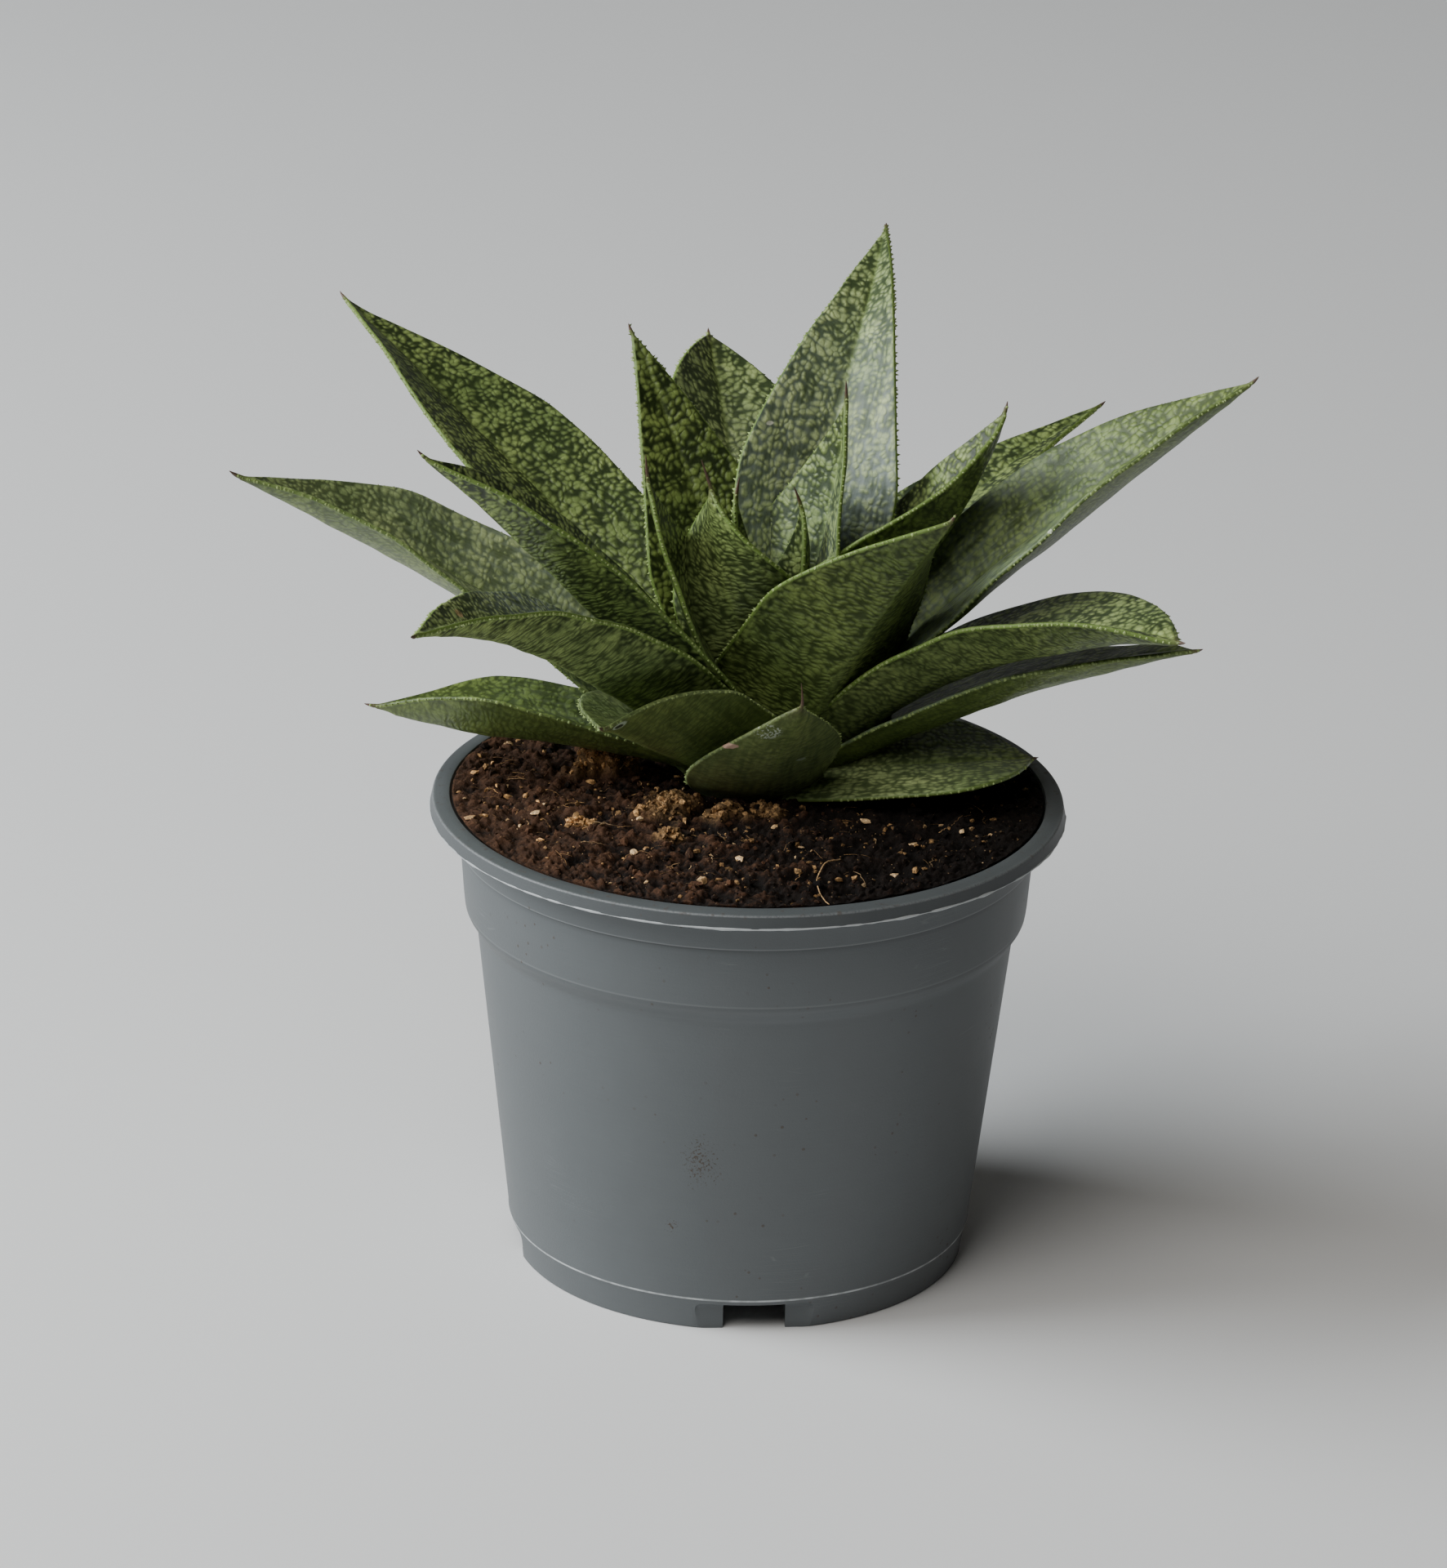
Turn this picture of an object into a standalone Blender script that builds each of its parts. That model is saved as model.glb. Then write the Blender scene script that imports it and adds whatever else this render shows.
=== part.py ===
"""A gasteria growing in a round grower's pot.

The pot is one moulded shell with a lip, a collar, a tapered body and a notched foot. Soil
fills it almost to the lip. A short stout stem roots in a plain hole in the soil, and every
leaf is its own thick, keeled, channelled blade that grows from the stem in a loose rosette.
Sizes are in millimetres and angles in degrees, and become metres where a mesh is made.
"""
import math
from collections import namedtuple

import bmesh
import bpy
import numpy as np
from mathutils import Vector, noise

MM = 0.001
CLEARANCE = 0.35
FLAT_ANGLE = 1.0

# Pot: a common 12 cm grower's size, measured over the lip
RIM_RADIUS = 60.0
POT_HEIGHT = 92.0
LIP_DEPTH = 2.8
LIP_FLARE = 0.4
LIP_ROUND = 1.0
LIP_BORE_RADIUS = 56.6
LIP_BORE_DEPTH = 1.1
LIP_BORE_CHAMFER = 0.3
LIP_INNER_RISE = 0.4
COLLAR_RADIUS = 55.6
COLLAR_FOOT_RADIUS = 53.6
SHOULDER_TOP = 70.5
SHOULDER_FOOT = 66.0
BODY_TOP_RADIUS = 51.3
BODY_FOOT_RADIUS = 44.6
SEAM_HEIGHT = 6.6
SEAM_DEPTH = 0.9
FOOT_RADIUS = 43.5
FOOT_FLARE = 0.8
WALL = 1.6
FLOOR_UNDERSIDE = 5.4
FLOOR_CORNER = 1.2
FOOT_RING_WIDTH = 2.4
POT_STEPS = 48

# Drainage notches through the foot, each between two shallow round-cornered recesses
NOTCH_COUNT = 4
NOTCH_TURN = 4.5
NOTCH_REACH = 3.0
NOTCH_WIDTH = 11.8
NOTCH_HEIGHT = 5.1
RECESS_WIDTH = 23.5
RECESS_HEIGHT = 5.6
RECESS_DEPTH = 1.4
RECESS_CORNER = 1.6

# Soil: low at the wall, mounded to the plant
SOIL_EDGE_HEIGHT = 91.6
SOIL_CALM_WIDTH = 8.0
SOIL_CROWN_HEIGHT = 93.6
SOIL_LUMP = 0.9
SOIL_LUMP_SPACING = 7.0
SOIL_STEPS = 48
SOIL_RING_SHARES = (0.3, 0.45, 0.6, 0.75, 0.88, 1.0)

# Stem: where it stands, and its taper
STEM_X = 3.0
STEM_Y = 8.0
STEM_COLLAR_HEIGHT = 94.0
STEM_COLLAR_RADIUS = 12.0
STEM_TAPER = 0.2
STEM_TOP = 129.0
STEM_FOOT = 80.0
STEM_FOOT_RADIUS = 9.0
STEM_STEPS = 24

# Leaf blades
LEAF_RINGS = 12
LEAF_TIP_CROWDING = 0.35
LEAF_TIP_HALF_WIDTH = 0.35
LEAF_MARGIN = 0.9
LEAF_SEAT = 4.0
ACROSS = (-1.0, -0.55, 0.0, 0.55, 1.0)
FLANK_POWER = 1.8
TIP_THINNING = 0.75

GREEN_DARK = (0.075, 0.115, 0.035, 1.0)
GREEN_MID = (0.115, 0.165, 0.055, 1.0)
GREEN_PALE = (0.17, 0.215, 0.125, 1.0)

# Leaf: height of its base on the stem; turn, the way it points seen from above, and sweep,
# how far that changes to the tip; rise, its angle above level at the base and at the tip;
# length along the midrib; half width; place of the widest point; taper, 1 for a long point
# and 2 for a round one; twist at the base and at the tip; how much the margins rise, as a
# share of the width; depth of the keel; width at the base as a share of the widest; colour;
# and how much of the keel there is at the base
Leaf = namedtuple("Leaf", "name height turn sweep rise tip_rise length half_width widest "
                          "taper twist tip_twist channel keel base_share colour base_keel",
                  defaults=(1.0,))
LEAVES = (
    Leaf("leaf_inner_bud_right", 128, -18, 28, 72, 109, 24, 6, 0.25, 1.1, 45, 6, 0.50, 2, 0.80, GREEN_MID),
    Leaf("leaf_inner_bud", 127, 192, 1, 81, 94, 26, 4, 0.45, 1.1, -38, -19, 0.60, 2, 0.60, GREEN_MID),
    Leaf("leaf_inner_spear", 125, 8, -32, 71, 89, 48, 13, 0.40, 1, 31, 38, 0.35, 2.5, 1.00, GREEN_MID),
    Leaf("leaf_right_inner", 121, -2, 28, 31, 68, 61, 15, 0.40, 1.4, -32, -6, 0.60, 3.5, 0.80, GREEN_MID),
    Leaf("leaf_inner_keeled", 119, 238, -27, 80, 65, 44, 14, 0.35, 2.4, 45, -42, 0.05, 5, 0.55, GREEN_DARK),
    Leaf("leaf_back_left", 116, 136, 0, 69, 54, 66, 14.5, 0.30, 1.1, -21, -16, 0.10, 3.5, 0.70, GREEN_DARK),
    Leaf("leaf_back_broad", 115, 101, -2, 44, 24, 79, 15.5, 0.50, 2.2, 7, 20, 0.40, 3.5, 0.90, GREEN_DARK),
    Leaf("leaf_inner_left", 114, 209, -5, 54, 82, 51, 12.5, 0.45, 1.4, -34, -26, 0.20, 1.5, 0.65, GREEN_DARK),
    Leaf("leaf_back_tall", 114, 56, 29, 85, 9, 101, 15.5, 0.35, 1, 45, -28, 0.50, 3.5, 0.55, GREEN_PALE),
    Leaf("leaf_right_back", 113, 43, -2, 36, 13, 89, 12, 0.40, 1.4, 10, -10, 0.25, 3.5, 0.65, GREEN_DARK),
    Leaf("leaf_left_high", 109, 149, -16, 37, 22, 116, 16.5, 0.60, 1.4, -22, 22, 0.30, 3.5, 0.55, GREEN_DARK),
    Leaf("leaf_rear_upper", 106, 85, 5, 39, 22, 84, 14, 0.35, 1.4, 3, 0, 0.35, 4.5, 0.80, GREEN_DARK),
    Leaf("leaf_front_upright", 104, -53, 28, 64, 47, 64, 17.5, 0.45, 1.9, -31, -12, 0.40, 4, 1.10, GREEN_MID),
    Leaf("leaf_right_long", 104, 1, -11, 47, 37, 109, 14.5, 0.60, 1.5, 26, 3, 0.40, 4, 0.55, GREEN_PALE),
    Leaf("leaf_left_middle", 103, 218, -22, 53, 38, 92, 11.5, 0.50, 2, -13, 2, 0.60, 3.5, 1.00, GREEN_DARK),
    Leaf("leaf_right_drooping", 101, -11, -38, 47, 2, 89, 15.5, 0.60, 1.9, -11, 0, 0.30, 5, 0.65, GREEN_MID),
    Leaf("leaf_left_front", 100, 219, 32, 47, 8, 115, 11.5, 0.35, 1.6, 7, -10, 0.60, 5.5, 1.00, GREEN_MID),
    Leaf("leaf_rear_low", 98, 80, -5, 30, 17, 92, 13, 0.35, 1.4, 5, 11, 0.60, 3.5, 0.75, GREEN_DARK),
    Leaf("leaf_left_long", 98, 177, 30, 40, 26, 111, 13.5, 0.65, 1.4, -47, 8, 0.40, 3.5, 0.65, GREEN_MID),
    Leaf("leaf_front_left_short", 97, 227, 22, 35, 18, 50, 16, 0.45, 1.5, 4, 21, 0.60, 3, 1.05, GREEN_DARK),
    Leaf("leaf_right_under", 97, -2, -30, 32, 14, 81, 13, 0.45, 1.9, -11, -5, 0.15, 4, 0.55, GREEN_DARK),
    Leaf("leaf_rear_right_low", 97, 48, -6, 9, 4, 83, 11, 0.35, 1.4, -13, -5, 0.30, 3.5, 0.80, GREEN_DARK),
    Leaf("leaf_front_stub", 96, -94, 45, 43, 45, 38, 15, 0.35, 1.7, 13, -2, 0.00, 5, 0.80, GREEN_DARK),
    Leaf("leaf_right_low", 96, -16, 28, 9, 0, 42, 17, 0.60, 2.4, 11, -3, 0.10, 4, 0.85, GREEN_DARK),
    Leaf("leaf_rear_left_low", 96, 128, 0, 20, 17, 93, 13.5, 0.35, 1.4, 10, 11, 0.60, 3.5, 0.80, GREEN_DARK),
    Leaf("leaf_left_low", 95, 191, -18, 23, -2, 67, 12.5, 0.65, 1.3, -8, 20, 0.45, 4.5, 0.60, GREEN_DARK, 0.4),
)


def new_collection(name):
    """Makes a collection in the scene."""
    group = bpy.data.collections.new(name)
    bpy.context.scene.collection.children.link(group)
    return group


def material(name, colour, roughness, metallic=0.0):
    """Makes a plain Principled material."""
    finish = bpy.data.materials.new(name)
    finish.use_nodes = True
    shader = finish.node_tree.nodes["Principled BSDF"]
    shader.inputs["Base Color"].default_value = colour
    shader.inputs["Roughness"].default_value = roughness
    shader.inputs["Metallic"].default_value = metallic
    finish.diffuse_color = colour
    return finish


def add_object(name, mesh, group, finish=None):
    """Puts a mesh in the scene as a named object."""
    thing = bpy.data.objects.new(name, mesh)
    group.objects.link(thing)
    if finish:
        mesh.materials.append(finish)
    return thing


def shade(mesh, angle):
    """Shades a mesh smooth, sharp where its faces meet at more than the angle."""
    mesh.shade_smooth()
    mesh.set_sharp_from_angle(angle=math.radians(angle))


def profile_mesh(name, points):
    """Makes a line of edges in the XZ plane from (radius, height) points in mm."""
    edges = [(i, i + 1) for i in range(len(points) - 1)]
    mesh = bpy.data.meshes.new(name)
    mesh.from_pydata([(r * MM, 0.0, z * MM) for r, z in points], edges, [])
    return mesh


def turned(name, points, steps, group, finish=None):
    """Turns a profile, which runs down its outer side, once about the Z axis."""
    thing = add_object(name, profile_mesh(name, points), group, finish)
    screw = thing.modifiers.new("turn", "SCREW")
    screw.angle = math.tau
    screw.steps = steps
    screw.render_steps = steps
    screw.use_merge_vertices = True
    screw.merge_threshold = 0.00001
    screw.use_smooth_shade = True
    return thing


def settle(thing):
    """Applies an object's modifiers to its mesh."""
    graph = bpy.context.evaluated_depsgraph_get()
    mesh = bpy.data.meshes.new_from_object(thing.evaluated_get(graph))
    old = thing.data
    thing.modifiers.clear()
    thing.data = mesh
    bpy.data.meshes.remove(old)


def arc(centre, radius, start, end, count):
    """Points along an arc in the profile plane, angles measured from +radius to +height."""
    angles = np.radians(np.linspace(start, end, count))
    return [(centre[0] + radius * math.cos(a), centre[1] + radius * math.sin(a)) for a in angles]


def wall_radius(height):
    """The pot's outer radius below the lip."""
    if height > SHOULDER_TOP:
        share = (height - SHOULDER_TOP) / (POT_HEIGHT - LIP_DEPTH - SHOULDER_TOP)
        return COLLAR_FOOT_RADIUS + share * (COLLAR_RADIUS - COLLAR_FOOT_RADIUS)
    if height > SHOULDER_FOOT:
        share = (height - SHOULDER_FOOT) / (SHOULDER_TOP - SHOULDER_FOOT)
        return BODY_TOP_RADIUS + share * (COLLAR_FOOT_RADIUS - BODY_TOP_RADIUS)
    share = (height - SEAM_HEIGHT) / (SHOULDER_FOOT - SEAM_HEIGHT)
    return BODY_FOOT_RADIUS + share * (BODY_TOP_RADIUS - BODY_FOOT_RADIUS)


def pot_inside():
    """The pot's inner profile from the middle of the floor up to the lip."""
    floor = FLOOR_UNDERSIDE + WALL
    return [
        (0.0, floor),
        (BODY_FOOT_RADIUS - WALL - FLOOR_CORNER, floor),
        (wall_radius(floor + FLOOR_CORNER) - WALL, floor + FLOOR_CORNER),
        (BODY_TOP_RADIUS - WALL, SHOULDER_FOOT),
        (COLLAR_FOOT_RADIUS - WALL, SHOULDER_TOP),
        (COLLAR_RADIUS - WALL, POT_HEIGHT - LIP_DEPTH + LIP_INNER_RISE),
        (LIP_BORE_RADIUS - LIP_BORE_CHAMFER, POT_HEIGHT - LIP_BORE_DEPTH),
        (LIP_BORE_RADIUS, POT_HEIGHT - LIP_BORE_CHAMFER),
    ]


def notch_box(name, width, height, inner, outer, turn, group):
    """A box cutter across the foot, from one radius out to another, turned about Z."""
    bpy.ops.mesh.primitive_cube_add(size=1.0)
    box = bpy.context.object
    box.name = name
    low = -1.0
    box.scale = ((outer - inner) * MM, width * MM, (height - low) * MM)
    middle = (inner + outer) / 2
    angle = math.radians(turn)
    box.location = (middle * MM * math.cos(angle), middle * MM * math.sin(angle),
                    (height + low) / 2 * MM)
    box.rotation_euler = (0.0, 0.0, angle)
    bpy.ops.object.transform_apply(location=False, rotation=False, scale=True)
    for owner in box.users_collection:
        owner.objects.unlink(box)
    group.objects.link(box)
    box.hide_render = True
    box.display_type = "WIRE"
    return box


def build_pot(parts, cutters):
    """The moulded pot: a turned shell, with notches cut through its foot."""
    lip_foot = POT_HEIGHT - LIP_DEPTH
    flare_radius = RIM_RADIUS + LIP_FLARE
    foot_inner = FOOT_RADIUS - FOOT_RING_WIDTH
    profile = pot_inside()
    profile.append((LIP_BORE_RADIUS + LIP_BORE_CHAMFER, POT_HEIGHT))
    profile += arc((RIM_RADIUS - LIP_ROUND, POT_HEIGHT - LIP_ROUND), LIP_ROUND, 90, 5, 4)
    profile += [
        (flare_radius, lip_foot),
        (COLLAR_RADIUS, lip_foot),
        (COLLAR_FOOT_RADIUS, SHOULDER_TOP),
        (BODY_TOP_RADIUS, SHOULDER_FOOT),
        (BODY_FOOT_RADIUS, SEAM_HEIGHT),
        (FOOT_RADIUS + FOOT_FLARE, SEAM_HEIGHT - SEAM_DEPTH),
        (FOOT_RADIUS, 0.0),
        (foot_inner, 0.0),
        (foot_inner, FLOOR_UNDERSIDE),
        (0.0, FLOOR_UNDERSIDE),
    ]
    pot = turned("pot", profile, POT_STEPS, parts,
                 material("pot_plastic", (0.16, 0.19, 0.21, 1.0), 0.55))
    for i in range(NOTCH_COUNT):
        turn = -90.0 + NOTCH_TURN + i * 360.0 / NOTCH_COUNT
        notch_box(f"notch_cutter_{i + 1}", NOTCH_WIDTH, NOTCH_HEIGHT, foot_inner - NOTCH_REACH,
                  BODY_FOOT_RADIUS + NOTCH_REACH, turn, cutters)
        recess = notch_box(f"recess_cutter_{i + 1}", RECESS_WIDTH, RECESS_HEIGHT,
                           FOOT_RADIUS - RECESS_DEPTH, BODY_FOOT_RADIUS + NOTCH_REACH, turn, cutters)
        corners = recess.modifiers.new("corners", "BEVEL")
        corners.width = RECESS_CORNER * MM
        corners.segments = 3
    for cutter in cutters.objects:
        cut = pot.modifiers.new(cutter.name, "BOOLEAN")
        cut.operation = "DIFFERENCE"
        cut.object = cutter
    return pot


def soil_height(x, y):
    """The lumpy surface of the soil, mounded towards the stem."""
    away = math.hypot(x, y)
    mound = (1.0 - (away / RIM_RADIUS) ** 2) ** 0.8
    lumps = noise.noise(Vector((x, y, 0.0)) / SOIL_LUMP_SPACING)
    settled = min(1.0, (LIP_BORE_RADIUS - away) / SOIL_CALM_WIDTH)
    rise = SOIL_CROWN_HEIGHT - SOIL_EDGE_HEIGHT
    return SOIL_EDGE_HEIGHT + rise * mound + SOIL_LUMP * settled * lumps


def build_soil(parts):
    """The soil: fills the pot with a thin clearance and has a lumpy top."""
    floor, *wall = pot_inside()[1:6]
    rim = LIP_BORE_RADIUS - CLEARANCE
    profile = [(0.0, SOIL_CROWN_HEIGHT)]
    profile += [(share * rim, SOIL_EDGE_HEIGHT) for share in SOIL_RING_SHARES]
    profile += [(r - CLEARANCE, z + CLEARANCE) for r, z in reversed(wall)]
    profile += [(floor[0] - CLEARANCE, floor[1] + CLEARANCE), (0.0, floor[1] + CLEARANCE)]
    soil = turned("soil", profile, SOIL_STEPS, parts,
                  material("potting_soil", (0.045, 0.028, 0.018, 1.0), 0.95))
    settle(soil)
    for vertex in soil.data.vertices:
        x, y, z = (c / MM for c in vertex.co)
        if z > SOIL_EDGE_HEIGHT - 0.5:
            vertex.co.z = soil_height(x, y) * MM
    return soil


def stem_radius(height):
    """The stem's radius, which narrows upwards."""
    return STEM_COLLAR_RADIUS - STEM_TAPER * (height - STEM_COLLAR_HEIGHT)


def build_stem(name, grow, group, finish=None):
    """The short stem, or with grow its clearance, as a turned solid."""
    top = STEM_TOP + grow
    shoulder = stem_radius(STEM_TOP)
    profile = [
        (0.0, top),
        (0.55 * shoulder + grow, top - 0.4),
        (0.9 * shoulder + grow, top - 1.4),
        (shoulder + grow, top - 3.0),
        (STEM_COLLAR_RADIUS + grow, STEM_COLLAR_HEIGHT),
        (STEM_COLLAR_RADIUS + grow, STEM_COLLAR_HEIGHT - 5.0),
        (STEM_FOOT_RADIUS + grow, STEM_FOOT - grow),
        (0.0, STEM_FOOT - grow),
    ]
    stem = turned(name, profile, STEM_STEPS, group, finish)
    settle(stem)
    for vertex in stem.data.vertices:
        vertex.co.x += STEM_X * MM
        vertex.co.y += STEM_Y * MM
    return stem


def midrib(leaf, places):
    """Points, directions, side and up vectors of a leaf's midrib at places from 0 to 1."""
    fine = np.linspace(0.0, 1.0, 81)

    def direction(t):
        turn = np.radians(leaf.turn + leaf.sweep * t)
        rise = np.radians(leaf.rise + (leaf.tip_rise - leaf.rise) * t)
        return np.stack([np.cos(rise) * np.cos(turn), np.cos(rise) * np.sin(turn), np.sin(rise)], -1)

    steps = direction((fine[1:] + fine[:-1]) / 2) * leaf.length / (len(fine) - 1)
    path = np.concatenate([np.zeros((1, 3)), np.cumsum(steps, 0)])
    seat = stem_radius(leaf.height) - 0.5
    turn = math.radians(leaf.turn)
    base = np.array([STEM_X + seat * math.cos(turn), STEM_Y + seat * math.sin(turn), leaf.height])
    points = base + np.stack([np.interp(places, fine, path[:, i]) for i in range(3)], -1)
    along = direction(places)
    turns = np.radians(leaf.turn + leaf.sweep * places)
    level = np.stack([-np.sin(turns), np.cos(turns), np.zeros_like(turns)], -1)
    above = np.cross(along, level)
    twist = np.radians(leaf.twist + (leaf.tip_twist - leaf.twist) * places)[:, None]
    side = level * np.cos(twist) + above * np.sin(twist)
    up = -level * np.sin(twist) + above * np.cos(twist)
    return points, along, side, up


def blade_size(leaf, places):
    """Half width and keel depth of a leaf at places from 0 to 1."""
    outer = np.clip((places - leaf.widest) / (1.0 - leaf.widest), 0.0, 1.0)
    inner = np.clip((leaf.widest - places) / leaf.widest, 0.0, 1.0)
    share = np.where(places < leaf.widest, 1.0 - (1.0 - leaf.base_share) * inner ** 2,
                     1.0 - outer ** leaf.taper)
    half = np.maximum(leaf.half_width * share, LEAF_TIP_HALF_WIDTH)
    depth = leaf.keel * (1.0 - TIP_THINNING * outer ** 1.3) * (1.0 - (1.0 - leaf.base_keel) * inner ** 0.8)
    return half, np.maximum(depth, LEAF_MARGIN)


def leaf_rings(leaf, grow):
    """Closed rings of points down a leaf: its upper face, then back along its keeled face."""
    spread = np.linspace(0.0, 1.0, LEAF_RINGS)
    places = spread * (1.0 + LEAF_TIP_CROWDING) - LEAF_TIP_CROWDING * spread ** 2
    points, along, side, up = midrib(leaf, places)
    half, depth = blade_size(leaf, places)
    points = np.concatenate([points[:1] - along[:1] * LEAF_SEAT, points])
    side, up = (np.concatenate([v[:1], v]) for v in (side, up))
    half, depth = (np.concatenate([v[:1], v]) for v in (half, depth))
    points[0] -= along[0] * grow
    points[-1] += along[-1] * grow
    across = np.array(ACROSS)
    away = np.abs(across)
    face = leaf.channel * half[:, None] * away
    thick = LEAF_MARGIN + (depth[:, None] - LEAF_MARGIN) * (1.0 - away ** FLANK_POWER)
    out = points[:, None] + side[:, None] * (across * (half[:, None] + grow))[..., None]
    upper = out + up[:, None] * (face + grow)[..., None]
    lower = out + up[:, None] * (face - thick - grow)[..., None]
    return upper, lower


def build_leaf(name, leaf, grow, group, finish=None):
    """Lofts one leaf, or with grow its clearance, as a closed solid."""
    upper, lower = leaf_rings(leaf, grow)
    form = bmesh.new()
    tops = [[form.verts.new(p * MM) for p in ring] for ring in upper]
    keels = [[form.verts.new(p * MM) for p in ring] for ring in lower]
    last = len(ACROSS) - 1
    for near in range(len(tops) - 1):
        for i in range(last):
            form.faces.new((tops[near][i], tops[near + 1][i], tops[near + 1][i + 1], tops[near][i + 1]))
            form.faces.new((keels[near][i], keels[near][i + 1], keels[near + 1][i + 1], keels[near + 1][i]))
        for i in (0, last):
            form.faces.new((tops[near][i], keels[near][i], keels[near + 1][i], tops[near + 1][i]))
    for end in (0, -1):
        for i in range(last):
            form.faces.new((tops[end][i], tops[end][i + 1], keels[end][i + 1], keels[end][i]))
    bmesh.ops.recalc_face_normals(form, faces=form.faces)
    bmesh.ops.triangulate(form, faces=form.faces)
    mesh = bpy.data.meshes.new(name)
    form.to_mesh(mesh)
    form.free()
    return add_object(name, mesh, group, finish)


def bounds(thing):
    """Lowest and highest corners of an object's mesh."""
    places = np.array([v.co[:] for v in thing.data.vertices])
    return places.min(0), places.max(0)


def near(one, other):
    """Whether two objects' boxes meet."""
    low_a, high_a = bounds(one)
    low_b, high_b = bounds(other)
    return bool(np.all(low_a < high_b) and np.all(low_b < high_a))


def keep_largest(thing):
    """Drops the loose scraps that a cut leaves beside the main body."""
    form = bmesh.new()
    form.from_mesh(thing.data)
    bmesh.ops.remove_doubles(form, verts=form.verts, dist=0.00002)
    bmesh.ops.dissolve_degenerate(form, edges=form.edges, dist=0.00001)
    form.verts.ensure_lookup_table()
    left = set(form.verts)
    bodies = []
    while left:
        body, edge = set(), [left.pop()]
        while edge:
            vertex = edge.pop()
            body.add(vertex)
            linked = [e.other_vert(vertex) for e in vertex.link_edges]
            edge += [v for v in linked if v in left]
            left.difference_update(linked)
        bodies.append(body)
    bodies.sort(key=len, reverse=True)
    scraps = [v for body in bodies[1:] for v in body]
    bmesh.ops.delete(form, geom=scraps, context="VERTS")
    bmesh.ops.dissolve_limit(form, angle_limit=math.radians(FLAT_ANGLE), verts=form.verts, edges=form.edges)
    bmesh.ops.triangulate(form, faces=form.faces)
    form.to_mesh(thing.data)
    form.free()


def carve(thing, clearances):
    """Cuts an object clear of the pieces inside or above it."""
    tools = [c for c in clearances if near(thing, c)]
    if not tools:
        return
    for tool in tools:
        cut = thing.modifiers.new(tool.name, "BOOLEAN")
        cut.operation = "DIFFERENCE"
        cut.solver = "MANIFOLD"
        cut.object = tool
    settle(thing)
    keep_largest(thing)


def centre_on_origin(parts, cutters):
    """Moves every object level so that the whole model stands centred on the origin."""
    graph = bpy.context.evaluated_depsgraph_get()
    corners = []
    for thing in parts.objects:
        mesh = thing.evaluated_get(graph).to_mesh()
        corners += [v.co[:] for v in mesh.vertices]
    places = np.array(corners)
    middle = (places.min(0) + places.max(0)) / 2
    for thing in list(parts.objects) + list(cutters.objects):
        thing.location.x -= middle[0]
        thing.location.y -= middle[1]


def main():
    for thing in list(bpy.data.objects):
        bpy.data.objects.remove(thing, do_unlink=True)
    parts = new_collection("potted_gasteria")
    cutters = new_collection("cutters")
    build_pot(parts, cutters)
    soil = build_soil(parts)
    stem = build_stem("stem", 0.0, parts, material("stem_green", (0.13, 0.15, 0.07, 1.0), 0.6))
    clearances = [build_stem("stem_clearance", CLEARANCE, cutters)]
    finishes = {}
    for leaf in LEAVES:
        if leaf.colour not in finishes:
            finishes[leaf.colour] = material(f"leaf_green_{len(finishes) + 1}", leaf.colour, 0.4)
        blade = build_leaf(leaf.name, leaf, 0.0, parts, finishes[leaf.colour])
        carve(blade, clearances)
        shade(blade.data, 40)
        clearances.append(build_leaf(leaf.name + "_clearance", leaf, CLEARANCE, cutters))
    carve(soil, clearances)
    shade(soil.data, 60)
    shade(stem.data, 50)
    for cutter in cutters.objects:
        cutter.hide_render = True
        cutter.display_type = "WIRE"
    centre_on_origin(parts, cutters)


main()
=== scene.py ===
"""Looks of a gasteria in a round plastic grower's pot: leaves, stem, soil, pot, plain studio."""

import math
from collections import namedtuple

import bmesh
import bpy
import numpy as np
from bpy.props import FloatProperty, FloatVectorProperty, IntProperty, PointerProperty
from mathutils import Matrix, Vector, noise


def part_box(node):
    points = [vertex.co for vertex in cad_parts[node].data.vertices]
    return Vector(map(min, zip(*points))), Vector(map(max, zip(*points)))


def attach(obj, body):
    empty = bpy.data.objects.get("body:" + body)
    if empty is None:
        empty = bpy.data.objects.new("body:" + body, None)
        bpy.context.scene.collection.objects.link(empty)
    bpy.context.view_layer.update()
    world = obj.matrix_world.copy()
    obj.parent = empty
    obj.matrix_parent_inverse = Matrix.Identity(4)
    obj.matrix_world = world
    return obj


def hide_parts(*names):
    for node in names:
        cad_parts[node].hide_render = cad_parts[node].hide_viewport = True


bl_info = {
    "name": "Potted gasteria",
    "version": (1, 0, 0),
    "blender": (4, 5, 0),
    "location": "3D View > Sidebar > Gasteria",
    "description": "Builds the leaves, soil, pot and studio of a potted gasteria",
    "category": "Object",
}

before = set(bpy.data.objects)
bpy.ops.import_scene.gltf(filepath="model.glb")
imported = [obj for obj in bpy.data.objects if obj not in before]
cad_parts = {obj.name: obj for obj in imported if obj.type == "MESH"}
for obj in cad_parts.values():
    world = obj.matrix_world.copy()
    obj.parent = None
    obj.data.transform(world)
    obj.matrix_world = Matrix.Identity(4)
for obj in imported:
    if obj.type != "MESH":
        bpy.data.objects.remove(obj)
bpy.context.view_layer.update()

MM = 0.001
PER_METRE = 1000.0
# Points closer than this many metres are one
DOUBLED = 0.000002

# The pot's middle, which every size below is measured from, in metres
POT_LOW, POT_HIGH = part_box("pot")
POT_MIDDLE = Vector(((POT_LOW.x + POT_HIGH.x) / 2, (POT_LOW.y + POT_HIGH.y) / 2, 0.0))

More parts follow.
